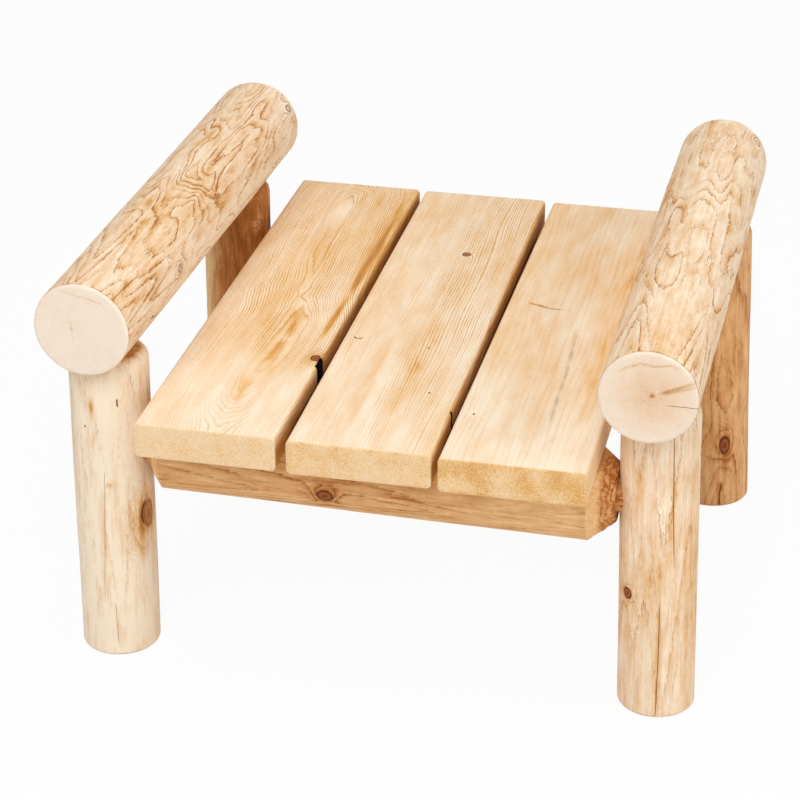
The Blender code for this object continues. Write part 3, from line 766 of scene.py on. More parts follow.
def knot_shares(tree, values, noises):
    """How much of a knot's reddish heart lies at a place, and of its dark pith, rings and uneven bark."""
    shaken = add_node(tree, "ShaderNodeMath", {0: noises["bundle"], 1: KNOT_SHAKE, 2: values["knot"]},
                      operation="MULTIPLY_ADD")
    from_bark = add_node(tree, "ShaderNodeMath", {0: shaken, 1: BARK_PLACE}, operation="SUBTRACT")
    off_bark = add_node(tree, "ShaderNodeMath", {0: from_bark}, operation="ABSOLUTE")
    in_knot, pith, bark = [
        add_node(tree, "ShaderNodeMapRange",
                 {"Value": away, "From Min": full, "From Max": gone, "To Min": strength, "To Max": 0.0})
        for away, (full, gone, strength) in (
            (shaken, HEART_FADE), (shaken, PITH_FADE), (off_bark, BARK_FADE))]
    turned = add_node(tree, "ShaderNodeMath", {0: shaken, 1: KNOT_RINGS}, operation="MULTIPLY")
    wave = add_node(tree, "ShaderNodeMath", {0: turned}, operation="SINE")
    ring = add_node(tree, "ShaderNodeMapRange",
                    {"Value": wave, "From Min": KNOT_RING_FROM, "To Max": KNOT_RING_DARK})
    dark = add_node(tree, "ShaderNodeMath", {0: ring, 1: in_knot}, operation="MULTIPLY")
    for mark in (pith, bark):
        dark = add_node(tree, "ShaderNodeMath", {0: dark, 1: mark}, operation="MAXIMUM")
    heart_size = add_node(tree, "ShaderNodeMath", {0: values["heart"]}, operation="ABSOLUTE")
    has_bark = add_node(tree, "ShaderNodeMapRange",
                        {"Value": heart_size, "From Min": BARK_SHOWS[0], "From Max": BARK_SHOWS[1]})
    bark_share = add_node(tree, "ShaderNodeMath", {0: dark, 1: has_bark}, operation="MULTIPLY")
    heart_share = add_node(tree, "ShaderNodeMath", {0: in_knot, 1: values["heart"]},
                           operation="MULTIPLY", use_clamp=True)
    return heart_share, bark_share


def check_marks(tree, values):
    """How much of a drying check, or of painted shade in a board's gap or groove, lies at a place, and its
    colour: brown, and a painted shade black inside a groove.
    """
    across = add_node(tree, "ShaderNodeMath", {0: values["check"]}, operation="ABSOLUTE")
    inside = add_node(tree, "ShaderNodeMapRange",
                      {"Value": across, "From Min": CHECK_EDGE[0], "From Max": CHECK_EDGE[1],
                       "To Min": 1.0, "To Max": 0.0})
    sure, hollow = [
        add_node(tree, "ShaderNodeMapRange",
                 {"Value": values["split"], "From Min": least, "From Max": most})
        for least, most in (CHECK_SURE, GROOVE_SHADE_SPLITS)]
    share = add_node(tree, "ShaderNodeMath", {0: inside, 1: sure}, operation="MULTIPLY")
    dark = add_node(tree, "ShaderNodeMix",
                    {0: hollow, 6: (*linear(CHECK_AND_GAP_SHADE_BROWN), 1), 7: (*linear(GROOVE_SHADE_BLACK), 1)},
                    out=2, data_type="RGBA")
    return share, dark


def softwood(name, pale, tan, line, end, knot, line_width, line_share, torn, mottle, end_speckle):
    """Unfinished northern softwood, worked by hand: matt, pale earlywood that turns amber towards each thin
    brown latewood edge, browner where it has weathered and where painted shade lies in its tone, paler
    where painted light does, and speckled where it was sawn across.
    line_width is a growth line's width in millimetres, line_share its share of a ring's width, and torn
    how far, in rings, bundles of fibre have torn away from a line."""
    material, tree = new_tree(name)
    values = {key: add_node(tree, "ShaderNodeAttribute", out="Fac", attribute_name=key)
              for key in WOOD_VALUES}
    noises = wood_noises(tree)
    line_here, late_here = growth_lines(tree, values, noises, line_width, line_share, torn)
    heart_share, bark_share = knot_shares(tree, values, noises)
    check_and_painted_shade, check_and_shade_colour = check_marks(tree, values)

    # Tone: weathering and the painted shade and painted light that some pieces carry, mottling, long
    # streaks, fibres and latewood, or specks and patches on a sawn end
    tone = end_tone = values["tone"]
    for mark, share in (
            (noises["mottle"], mottle), (noises["streak"], STREAK_SHARE * mottle),
            (noises["fibre"], FIBRE_SHARE * mottle), (late_here, LATE_TONE)):
        tone = add_node(tree, "ShaderNodeMath", {0: mark, 1: share, 2: tone}, operation="MULTIPLY_ADD")
    for mark, share in (
            (noises["speck"], SPECK_SHARE * end_speckle), (noises["mottle"], PATCH_SHARE * end_speckle)):
        end_tone = add_node(tree, "ShaderNodeMath", {0: mark, 1: share, 2: end_tone},
                            operation="MULTIPLY_ADD")
    wood = toned_wood(tree, tone, pale, tan, line, WOOD_DEEP)
    end_wood = toned_wood(tree, end_tone, end, tan, line, END_DEEP)

    # Each of these colours lies over the ones before it
    for share, over in (
            (values["sawn"], end_wood), (line_here, (*line, 1)), (values["grey"], (*linear(GREY_WOOD), 1)),
            (heart_share, (*knot, 1)), (bark_share, (*linear(BARK), 1)), (check_and_painted_shade, check_and_shade_colour)):
        wood = add_node(tree, "ShaderNodeMix", {0: share, 6: wood, 7: over}, out=2, data_type="RGBA")

    # Relief: each growth ring ends in a small ledge, and fibres stand proud
    fibres = add_node(tree, "ShaderNodeMath", {0: noises["bundle"], 1: BUNDLE_RELIEF, 2: noises["fibre"]},
                      operation="MULTIPLY_ADD")
    relief = add_node(tree, "ShaderNodeMath", {0: late_here, 1: LATE_RELIEF, 2: fibres},
                      operation="MULTIPLY_ADD")
    with_ends = add_node(tree, "ShaderNodeMix", {0: values["sawn"], 2: relief, 3: noises["speck"]},
                         data_type="FLOAT")
    bump = add_node(tree, "ShaderNodeBump",
                    {"Strength": BUMP_STRENGTH, "Distance": BUMP_HEIGHT, "Height": with_ends})
    dull = add_node(tree, "ShaderNodeMath", {0: check_and_painted_shade, 1: bark_share}, operation="MAXIMUM")
    rough = add_node(tree, "ShaderNodeMapRange",
                     {"Value": dull, "To Min": WOOD_ROUGH, "To Max": DULL_ROUGH})
    shader = add_node(tree, "ShaderNodeBsdfPrincipled",
                      {"Base Color": wood, "Roughness": rough, "Specular IOR Level": WOOD_SPECULAR,
                       "Normal": bump})
    add_node(tree, "ShaderNodeOutputMaterial", {"Surface": shader})
    return material


def log_wood(colours):
    """Peeled cedar: creamy, with brown growth lines where the knife went through a ring."""
    found = bpy.data.materials.get("Peeled cedar log")
    return found or softwood("Peeled cedar log", colours.log_pale, colours.log_tan, colours.log_line,
                             colours.log_end, colours.knot, line_width=1.0, line_share=0.02, torn=0.9,
                             mottle=1.3, end_speckle=0.30)


def aged_wood(colours):
    """Cedar that has aged: redder and browner than the fresh logs."""
    found = bpy.data.materials.get("Aged cedar log")
    return found or softwood("Aged cedar log", colours.rail_pale, colours.rail_tan, colours.log_line,
                             colours.log_end, colours.knot, line_width=0.9, line_share=0.03, torn=0.8,
                             mottle=1.3, end_speckle=0.15)


# Legs and arms

def leg_line(node):
    """A leg's foot on the floor, its lean for each metre of height, and its radius."""
    low, size = cut_round(node, Z, LEG_LOW_CUT)
    high, _ = cut_round(node, Z, LEG_HIGH_CUT)
    lean = (high - low) / (high.z - low.z)
    return low - lean * low.z, lean, size.x


def arm_line(node):
    """Centre and radius of an arm log near its front end, and near its back end."""
    low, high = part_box(node)
    front, front_size = cut_round(node, Y, low.y + ARM_CUT)
    back, back_size = cut_round(node, Y, high.y - ARM_CUT)
    return front, front_size.z, back, back_size.z


def leg_shape(node, surface):
    """A leg from its foot to its blank top, leaning as its CAD log does."""
    base, lean, radius = leg_line(node)
    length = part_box(node)[1].z
    profile = log_profile(length, radius, radius, (LEG_FOOT_EASE, LEG_FOOT_EASE), LEG_CROWN, surface.step)
    shape = spun(profile, round(2 * math.pi * radius / surface.step))
    dress_log(shape, node, surface, length, radius, lambda height: height)
    bmesh.ops.transform(shape, matrix=Matrix.Shear("XY", 4, (lean.x, lean.y)), verts=shape.verts)
    bmesh.ops.translate(shape, vec=base, verts=shape.verts)
    return shape


def press_under_arm(shape, arm):
    """Cope the top of a leg to the round of its arm log."""
    front, front_radius, back, back_radius = arm_line(arm)
    for vert in shape.verts:
        share = (vert.co.y - front.y) / (back.y - front.y)
        centre = front.lerp(back, share)
        radius = front_radius + (back_radius - front_radius) * share
        aside = vert.co.x - centre.x
        if abs(aside) < radius:
            vert.co.z = min(vert.co.z, centre.z - math.sqrt(radius ** 2 - aside ** 2))
    bmesh.ops.remove_doubles(shape, verts=shape.verts, dist=PRESS_MERGE)


class OTTOMAN_OT_legs(bpy.types.Operator):
    """Peel the four log legs"""
    bl_idname = "ottoman.make_legs"
    bl_label = "Make legs"

    def execute(self, context):
        settings = context.scene.log_ottoman
        for row, wood in (("front", log_wood(settings.colours)), ("back", aged_wood(settings.colours))):
            for side in ("left", "right"):
                node = f"leg_{row}_{side}"
                shape = leg_shape(node, settings.surface)
                press_under_arm(shape, f"arm_log_{side}")
                sink_bore(shape, f"tenon_screw_{row}_{side}")
                add_piece(f"peeled_{node}", shape, node, wood)
        return {"FINISHED"}


def arm_shape(node, surface):
    """An arm log, spun from its back end to its front end, with both rims eased."""
    front, front_radius, back, back_radius = arm_line(node)
    along = (front - back).normalized()
    overrun = front_radius * abs(along.x)
    past = (ARM_CUT - overrun) / abs(along.y)
    length = (front - back).length + 2 * past
    taper = (front_radius - back_radius) / (front - back).length
    ease = (ARM_RIM_EASE, ARM_RIM_EASE)
    profile = log_profile(length, back_radius - taper * past, front_radius + taper * past,
                          ease, ease, surface.step)
    shape = spun(profile, round(2 * math.pi * front_radius / surface.step))
    start = back - along * past
    dress_log(shape, node, surface, length, min(front_radius, back_radius),
              lambda height: start.y + along.y * height)
    right = UP.cross(along).normalized()
    turned = Matrix((right, along.cross(right), along)).transposed().to_4x4()
    bmesh.ops.transform(shape, matrix=Matrix.Translation(start) @ turned, verts=shape.verts)
    return shape


class OTTOMAN_OT_arms(bpy.types.Operator):
    """Peel the two arm logs"""
    bl_idname = "ottoman.make_arms"
    bl_label = "Make arm logs"

    def execute(self, context):
        settings = context.scene.log_ottoman
        wood = log_wood(settings.colours)
        for side in ("left", "right"):
            node = f"arm_log_{side}"
            add_piece(f"peeled_{node}", arm_shape(node, settings.surface), node, wood)
        return {"FINISHED"}


# Cross rails

RailEnd = namedtuple("RailEnd", "tip tip_radius shoulder full")


def rail_end(row, side, sign, middle, half, taper, height):
    """Where a rail's point on one side ends and begins, and its radius at both places."""
    base, lean, radius = leg_line(f"leg_{row}_{side}")
    inner = base.x + lean.x * height - sign * radius
    butt = taper * sign > 0
    point, tip = (BUTT_POINT, BUTT_TIP) if butt else (THIN_POINT, THIN_TIP)
    shoulder = inner - sign * point
    full = half + taper * (shoulder - middle)
    return RailEnd(inner - sign * POINT_STAND_OFF, tip / 2, shoulder, full)


def tear_points(shape, left, right, start):
    """Roughen a rail's points past their smooth chamfers, and ring them."""
    layers = shape.verts.layers.float
    for vert in shape.verts:
        x = vert.co.z + start
        share = max((left.shoulder - x) / (left.shoulder - left.tip),
                    (x - right.shoulder) / (right.tip - right.shoulder))
        if share > 0:
            torn = smooth_step(CHAMFER_SHARE, CHAMFER_SHARE + CHAMFER_FADE, share)
            lumps = patchy(vert.co, POINT_LUMPS)
            fibres = patchy(vert.co, POINT_FIBRES)
            out = Vector((vert.co.x, vert.co.y, 0.0))
            if share > CHAMFER_SHARE / 2:
                vert[layers["growth"]] = out.length / POINT_RING + RING_LUMPS * lumps
            vert[layers["figure"]] = POINT_FIGURE * torn
            vert[layers["sawn"]] = 0.0
            torn_tone = TORN_TONE + LUMP_TONE * lumps + FIBRE_TONE * fibres
            vert[layers["tone"]] = CHAMFER_TONE + torn * torn_tone
            if out.length > TENON_DIAMETER / 2 + TENON_CLEAR:
                vert.co += out.normalized() * torn * (LUMP_HEIGHT * lumps + FIBRE_HEIGHT * fibres)
    set_pace(shape, layers)


def rail_shape(row, surface):
    """A rail with a tenon and a pencil point at each end, sawn flat along its top."""
    node = f"cross_rail_{row}"
    low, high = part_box(node)
    middle, middle_size = cut_round(node, X, 0.0)
    left_cut, left_size = cut_round(node, X, -RAIL_CUT)
    right_cut, right_size = cut_round(node, X, RAIL_CUT)
    taper = (right_size.y - left_size.y) / (right_cut.x - left_cut.x)
    height = low.z + max(left_size.y, right_size.y) + abs(taper) * RAIL_BUTT_REACH
    left = rail_end(row, "left", -1, middle.x, middle_size.y, taper, height)
    right = rail_end(row, "right", 1, middle.x, middle_size.y, taper, height)
    tenon = TENON_DIAMETER / 2
    corners = [
        (0.0, low.x), (tenon, low.x), (tenon, left.tip), (left.tip_radius, left.tip),
        (left.full, left.shoulder), (right.full, right.shoulder), (right.tip_radius, right.tip),
        (tenon, right.tip), (tenon, high.x), (0.0, high.x),
    ]
    profile = fine_profile([(radius, x - low.x) for radius, x in corners], surface.step)
    shape = spun(profile, round(2 * math.pi * max(left.full, right.full) / surface.step))
    dress_log(shape, node, surface, high.x - low.x, min(left.full, right.full),
              lambda along: low.x + along)
    tear_points(shape, left, right, low.x)
    turned = Matrix(((0, 0, 1), (1, 0, 0), (0, 1, 0))).to_4x4()
    centre = Vector((low.x, middle.y, height))
    bmesh.ops.transform(shape, matrix=Matrix.Translation(centre) @ turned, verts=shape.verts)
    for vert in shape.verts:
        vert.co.z = min(vert.co.z, high.z)
    bmesh.ops.remove_doubles(shape, verts=shape.verts, dist=PRESS_MERGE)
    return shape


class OTTOMAN_OT_rails(bpy.types.Operator):
    """Shape the two cross rails"""
    bl_idname = "ottoman.make_rails"
    bl_label = "Make cross rails"

    def execute(self, context):
        settings = context.scene.log_ottoman
        wood = aged_wood(settings.colours)
        for row in ("front", "back"):
            node = f"cross_rail_{row}"
            shape = rail_shape(row, settings.surface)
            for screw in [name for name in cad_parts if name.startswith(f"seat_screw_{row}")]:
                sink_bore(shape, screw)
            add_piece(f"pointed_{node}", shape, node, wood)
        return {"FINISHED"}


# Seat boards

def along_path(path, y):
    """The value at y on a path of (y, value) points that runs from back to front."""
    for (y0, a), (y1, b) in zip(path, path[1:]):
        if y >= y1:
            return a + (b - a) * smooth_step(y0, y1, y)
    return path[-1][1]


# The left board's heart along its length: how far aside it lies, how deep, and how wide it is
CATHEDRAL_RIDGE = ((0.310, -0.002), (0.276, -0.001), (0.150, 0.003), (0.025, 0.010), (-0.060, 0.022),
                   (-0.126, 0.022), (-0.218, 0.012), (-0.310, 0.012))
CATHEDRAL_DEPTH = ((0.310, 0.024), (0.276, 0.0085), (0.240, 0.0035), (0.100, 0.0030), (0.025, 0.0090),
                   (0.000, 0.0125), (-0.025, 0.0105), (-0.060, 0.0040), (-0.160, 0.0030), (-0.218, 0.0135),
                   (-0.310, 0.030))
CATHEDRAL_HEART = ((0.310, 0.0085), (0.050, 0.0085), (-0.080, 0.0145), (-0.310, 0.0135))
CATHEDRAL_TOP, CATHEDRAL_SLOPE = 0.0178, 0.5        # rings reach deeper below the board's top
CATHEDRAL_RING, HEART_RING = 0.0026, 0.0090         # ring widths, outside and inside the heart
CATHEDRAL_FIGURE, FRONT_LOSS = 0.85, 0.70
CATHEDRAL_FRONT = (-0.13, -0.19)                    # where the figure begins to fade, and has faded
CATHEDRAL_SHAKE = Patches(1.0, 0.030, 0.090, 31.0)
CATHEDRAL_FINE = Patches(0.5, 0.010, 0.220, 32.0)
RIDGE_SHAKE, RING_SHAKE = 0.002, 0.6

# The middle board's lines, which are fine towards its right and its back
STRAIGHT_RING, STRAIGHT_TILT = 0.0030, 0.3
STRAIGHT_WAVE = Patches(1.5, 0.030, 0.160, 36.0)
STRAIGHT_FINE = Patches(0.6, 0.009, 0.240, 37.0)
FINE_ACROSS, FINE_SKEW, FINE_ALONG = (-0.035, 0.025), 0.02, (-0.30, -0.05)
SOFT_FIGURE, FINE_FIGURE = 0.28, 0.50

# The right board's lines
PLAIN_RING, PLAIN_TILT, PLAIN_FIGURE = 0.0065, 0.9, 0.14
PLAIN_WAVE = Patches(1.6, 0.035, 0.160, 41.0)


def board_noise(x, y, patches):
    """Noise of some patches at a place on a board, drawn out along it."""
    return patches.strength * noise.noise(Vector((x / patches.wide, y / patches.tall, patches.seed)))


def cathedral_grain(x, y, z):
    """Flat-sawn figure: rings round a wandering heart that dips twice, so that lines close into tongues."""
    shake = board_noise(x, y, CATHEDRAL_SHAKE)
    ridge = along_path(CATHEDRAL_RIDGE, y) + RIDGE_SHAKE * shake
    depth = along_path(CATHEDRAL_DEPTH, y) + CATHEDRAL_SLOPE * (CATHEDRAL_TOP - z)
    away = math.hypot(x - ridge, depth) - along_path(CATHEDRAL_HEART, y)
    rings = away / (CATHEDRAL_RING if away > 0 else HEART_RING)
    rings += RING_SHAKE * shake + board_noise(x, y, CATHEDRAL_FINE)
    front = smooth_step(*CATHEDRAL_FRONT, y)
    return rings, CATHEDRAL_FIGURE * (1 - FRONT_LOSS * front)


def straight_grain(x, y, z):
    """Rift-sawn figure: fine straight lines on the right, which fade into soft streaks on the left."""
    rings = (x + STRAIGHT_TILT * z) / STRAIGHT_RING
    rings += board_noise(x, y, STRAIGHT_WAVE) + board_noise(x, y, STRAIGHT_FINE)
    fine = smooth_step(*FINE_ACROSS, x + FINE_SKEW * y) * smooth_step(*FINE_ALONG, y)
    return rings, SOFT_FIGURE + FINE_FIGURE * fine


def plain_grain(x, y, z):
    """Slow, pale wood with hardly any figure."""
    return (x + PLAIN_TILT * z) / PLAIN_RING + board_noise(x, y, PLAIN_WAVE), PLAIN_FIGURE


BOARD_GRAIN = {
    "seat_board_left": cathedral_grain,
    "seat_board_middle": straight_grain,
    "seat_board_right": plain_grain,
}

# How a board's tones and marks break up
BOARD_PATCHES = Patches(0.35, 0.045, 0.160, 0)
BOARD_FLECKS = Patches(0.25, 0.012, 0.045, 2.0)
AMBER_BREAKS = Patches(1.2, 0.006, 0.040, 8)
GREY_BREAKS = Patches(0.9, 0.004, 0.014, 6)
FIGURE_BREAKS = Patches(0.6, 0.020, 0.080, 3)
END_PATCHES = Patches(0.7, 0.022, 0.500, 5)
GREY_SHARE, FIGURE_SHARE = 0.75, 0.8
END_FIGURE_LOSS = 0.55
BOARD_SKIN = 0.0005             # below a board's top, as deep as its knots and checks go in
BOARD_SIDE = (0.0025, 0.0003)   # from a board's side, where its edge turns amber
BOARD_SAWN = (0.0020, 0.0004)   # from its end, where sawn wood begins and is full
EDGE_TONE = 0.45
# The front tone makes a board's top paler towards its front
FRONT_PALING = (-0.08, -0.24)     # where the front tone begins, and is full

# Painted shade in a gap between boards: depths where a board's side begins to be browned or darkened by the
# painted shade, and is fully browned or dark
GAP_SHADE_BROWNING, GAP_SHADE_TONE = (0.004, 0.020), 0.55
GAP_SHADE_DARKENING, GAP_SHADE_SPLIT = (0.0160, 0.0215), 0.17
GAP_SHADE_END = (0.0260, 0.0340)      # where that dark begins to end, and has ended
GAP_SHADE_FADE = 0.090                # from a board's end, over which that dark fades


def board_blank(width, length, thickness, spacing, grooves):
    """A milled board along Y about its middle, cut into a fine grid, and again at its grooves' walls."""
    shape = bmesh.new()
    bmesh.ops.create_cube(shape, size=1.0)
    bmesh.ops.scale(shape, vec=(width, length, thickness), verts=shape.verts)
    long_edges = [e for e in shape.edges if abs(e.verts[0].co.y - e.verts[1].co.y) > length / 2]
    bmesh.ops.bevel(shape, geom=long_edges, affect="EDGES", offset=BOARD_EDGE_RADIUS, offset_type="OFFSET",
                    segments=RIM_PARTS, profile=0.5, material=-1)
    end_rims = [e for f in shape.faces if abs(f.normal.y) > 0.9 for e in f.edges]
    bmesh.ops.bevel(shape, geom=end_rims, affect="EDGES", offset=BOARD_END_EASE, offset_type="OFFSET",
                    segments=2, profile=0.5, material=-1)
    shape = settled(shape)
    for axis, size in ((Y, length), (X, width), (Z, thickness)):
        runs = [e for e in shape.edges if abs(e.verts[0].co[axis] - e.verts[1].co[axis]) > size / 2]
        bmesh.ops.subdivide_edges(shape, edges=runs, cuts=round(size / spacing) - 1, use_grid_fill=True)
    for groove in grooves:
        half = groove.width / 2
        for edge in (-half, GROOVE_WALL - half, half - GROOVE_WALL, half):
            geometry = shape.verts[:] + shape.edges[:] + shape.faces[:]
            bmesh.ops.bisect_plane(shape, geom=geometry, plane_co=(0, groove.along + edge, 0),
                                   plane_no=(0, 1, 0), dist=MERGE_DISTANCE)
    return shape


def dress_board(shape, node, width, length, thickness, surface):
    """Work a board: its figure, knots, checks, grooves, and the values that its wood is painted from."""
    look = BOARD_LOOKS[node]
    layers = wood_layers(shape)
    paths = [[Vector(place) for place in check.path] for check in look.checks]
    for vert in shape.verts:
        point = vert.co.copy()
        across = Vector((point.x, point.z, point.y))
        below_top = thickness / 2 - point.z
        on_top = below_top < BOARD_SKIN
        edge = smooth_step(width / 2 - BOARD_SIDE[0], width / 2 - BOARD_SIDE[1], abs(point.x))
        sawn = smooth_step(length / 2 - BOARD_SAWN[0], length / 2 - BOARD_SAWN[1], abs(point.y))
        growth, figure = BOARD_GRAIN[node](point.x, point.y, point.z)
        figure *= FIGURE_SHARE + patchy(across, FIGURE_BREAKS, look.seed)

        amber, grey = streak_effect(look.streaks, point.xy) if point.z > 0 else (0.0, 0.0)
        amber *= max(0.0, 1.0 + patchy(across, AMBER_BREAKS, look.seed))
        grey *= GREY_SHARE + patchy(across, GREY_BREAKS, look.seed)
        tone = look.tone + patchy(across, BOARD_PATCHES, look.seed) + patchy(across, BOARD_FLECKS)
        tone += EDGE_TONE * edge
        end_tone = look.end_tone * (1 + patchy(across, END_PATCHES, look.seed))
        tone += amber + (end_tone - tone) * sawn
        tone += look.front_tone * smooth_step(*FRONT_PALING, point.y) * (1 - sawn)

        rise, lift, stain, drawn, knot_at, heart = knot_effect(
            look.knots if point.z > 0 else [], lambda knot: (point.x - knot.at, point.y - knot.along))
        check_at, split, sink = open_checks(look.checks if on_top else [], paths, point.xy, surface.step)
        # Painted shade: a side that faces a neighbouring board turns browner, and then dark, deeper into
        # the gap; the dark is written into the check values, so it is painted in the check brown
        if node != ("seat_board_right" if point.x > 0 else "seat_board_left"):
            tone += GAP_SHADE_TONE * edge * smooth_step(*GAP_SHADE_BROWNING, below_top) * (1 - sawn)
            deep = edge * smooth_step(*GAP_SHADE_DARKENING, below_top) * (1 - smooth_step(*GAP_SHADE_END, below_top))
            deep *= 1 - smooth_step(length / 2 - GAP_SHADE_FADE, length / 2, abs(point.y))
            if deep > 0:
                check_at, split = 0.0, CHECK_SURE[0] + GAP_SHADE_SPLIT * deep
        if on_top:
            vert.co.z += rise - sink
        figure = (figure + drawn) * (1 - END_FIGURE_LOSS * sawn)
        found = (growth + lift, 0.0, figure, knot_at, heart, check_at, split, tone + stain, grey, sawn)
        for name, value in zip(WOOD_VALUES, found):
            vert[layers[name]] = value
        vert[layers["grain"]] = across + Vector((0, 0, look.seed))
        # Painted shade: inside a groove the wood is painted near black
        for groove in look.grooves:
            below = below_top > groove.top and point.x > width / 2 - BOARD_EDGE_RADIUS
            past_rim = abs(point.y - groove.along) - groove.width / 2
            if below and past_rim < MERGE_DISTANCE:
                vert[layers["check"]] = 0.0
                vert[layers["split"]] = GROOVE_SHADE_SPLITS[1]
                if past_rim < MERGE_DISTANCE - GROOVE_WALL:
                    vert.co.x -= groove.depth
    set_pace(shape, layers)


class OTTOMAN_OT_boards(bpy.types.Operator):
    """Plane the three seat boards"""
    bl_idname = "ottoman.make_boards"
    bl_label = "Make seat boards"

    def execute(self, context):
        settings = context.scene.log_ottoman
        colours = settings.colours
        wood = softwood("Planed cedar board", colours.board_pale, colours.board_tan, colours.board_line,
                        colours.board_end, colours.knot, line_width=0.0, line_share=0.35, torn=0.5,
                        mottle=0.6, end_speckle=1.1)
        for side in ("left", "middle", "right"):
            node = f"seat_board_{side}"
            low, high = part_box(node)
            front, size = cut_round(node, Y, -BOARD_CUT)
            back, _ = cut_round(node, Y, BOARD_CUT)
            skew = math.atan2(back.x - front.x, back.y - front.y)
            length = (high.y - low.y - 2 * size.x * abs(math.sin(skew))) / math.cos(skew)
            width, thickness = 2 * size.x * math.cos(skew), high.z - low.z
            shape = board_blank(width, length, thickness, settings.surface.step, BOARD_LOOKS[node].grooves)
            dress_board(shape, node, width, length, thickness, settings.surface)
            place = Matrix.Translation((low + high) / 2) @ Matrix.Rotation(-skew, 4, "Z")
            bmesh.ops.transform(shape, matrix=place, verts=shape.verts)
            bmesh.ops.recalc_face_normals(shape, faces=shape.faces)
            add_piece(f"planed_{node}", shape, node, wood)
        return {"FINISHED"}


# Dowels and screws

def screw_place(node):
    """The middle of a screw's head, the way it faces and the screw's length."""
    low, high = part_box(node)
    middle = (low + high) / 2
    if node.startswith("tenon"):
        return Vector((middle.x, high.y, middle.z)), Vector((0, 1, 0)), high.y - low.y
    return Vector((middle.x, middle.y, low.z)), Vector((0, 0, -1)), high.z - low.z


def sink_bore(shape, screw):
    """Open a round recess in a log down to a screw's head."""
    head, facing, _ = screw_place(screw)

    def away(place):
        return (place - head).cross(facing).length

    margin = BORE_MARGIN * BORE_RADIUS
    near = [face for face in shape.faces
            if face.normal.dot(facing) > FACING and away(face.calc_center_median()) < margin]
    edges = list(dict.fromkeys(edge for face in near for edge in face.edges))
    bmesh.ops.subdivide_edges(shape, edges=edges, cuts=BORE_CUTS, use_grid_fill=True)
    near = [vert for vert in shape.verts
            if vert.normal.dot(facing) > FACING and away(vert.co) < BORE_RADIUS]
    for vert in near:
        aside = (vert.co - head) - facing * (vert.co - head).dot(facing)
        if aside.length > BORE_EDGE * BORE_RADIUS:
            aside *= BORE_RADIUS / aside.length
        vert.co = head + aside - facing * BORE_FLOOR


def screw_shape(length):
    """A countersunk screw on +Z with its face at the origin and a cross recess in it."""
    spacing = HEAD_RADIUS / HEAD_STEPS
    head = fine_profile([(0.0, 0.0), (HEAD_RADIUS, 0.0), (HEAD_RADIUS, HEAD_RIM)], spacing)
    profile = head + [(SHANK_RADIUS, HEAD_HEIGHT), (SHANK_RADIUS, length - SCREW_POINT), (0.0, length)]
    shape = spun(profile, SCREW_SIDES)
    for axis in (Vector((1, 0, 0)), Vector((0, 1, 0))):
        for reach in (CROSS_HALF, CROSS_REACH):
            for cut in (-reach - CROSS_WALL, -reach, reach, reach + CROSS_WALL):
                geometry = shape.verts[:] + shape.edges[:] + shape.faces[:]
                bmesh.ops.bisect_plane(shape, geom=geometry, plane_co=axis * cut, plane_no=axis)
    for vert in shape.verts:
        short, long = sorted((abs(vert.co.x), abs(vert.co.y)))
        in_cross = short < CROSS_HALF + MERGE_DISTANCE and long < CROSS_REACH + MERGE_DISTANCE
        if vert.co.z < MERGE_DISTANCE and in_cross:
            vert.co.z = CROSS_DEPTH * (1 - CROSS_SLOPE * long / CROSS_REACH)
    return shape


class OTTOMAN_OT_screws(bpy.types.Operator):
    """Make the screws that hold the boards and the tenons"""
    bl_idname = "ottoman.make_screws"
    bl_label = "Make screws"

    def execute(self, context):
        steel = zinc_plate(context.scene.log_ottoman.colours)
        for node in [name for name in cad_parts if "_screw_" in name]:
            head, facing, length = screw_place(node)
            shape = screw_shape(length)
            turned = (-facing).to_track_quat("Z", "Y").to_matrix().to_4x4()
            bmesh.ops.transform(shape, matrix=Matrix.Translation(head) @ turned, verts=shape.verts)
            bmesh.ops.recalc_face_normals(shape, faces=shape.faces)
            screw = add_piece(f"zinc_{node}", shape, node, steel)
            screw.data.shade_flat()
        return {"FINISHED"}


def zinc_plate(colours):
    """Zinc plated steel: bright grey metal, a little blotchy where the plating dulls."""
    material, tree = new_tree("Zinc plated steel")
    place = add_node(tree, "ShaderNodeTexCoord", out="Object")
    dull = add_node(tree, "ShaderNodeTexNoise", {"Vector": place, "Scale": 1 / 0.003, "Detail": 3.0})
    rough = add_node(tree, "ShaderNodeMapRange", {"Value": dull, "To Min": 0.25, "To Max": 0.55})
    shader = add_node(tree, "ShaderNodeBsdfPrincipled",
                      {"Base Color": (*colours.steel, 1), "Metallic": 1.0, "Roughness": rough})
    add_node(tree, "ShaderNodeOutputMaterial", {"Surface": shader})
    return material


class OTTOMAN_OT_dowels(bpy.types.Operator):
    """Give the hidden dowels their wood"""
    bl_idname = "ottoman.make_dowels"
    bl_label = "Make dowels"

    def execute(self, context):
        wood = turned_dowel(context.scene.log_ottoman.colours)
        for name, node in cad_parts.items():
            if "_dowel_" in name:
                node.data.materials.clear()
                node.data.materials.append(wood)
        return {"FINISHED"}


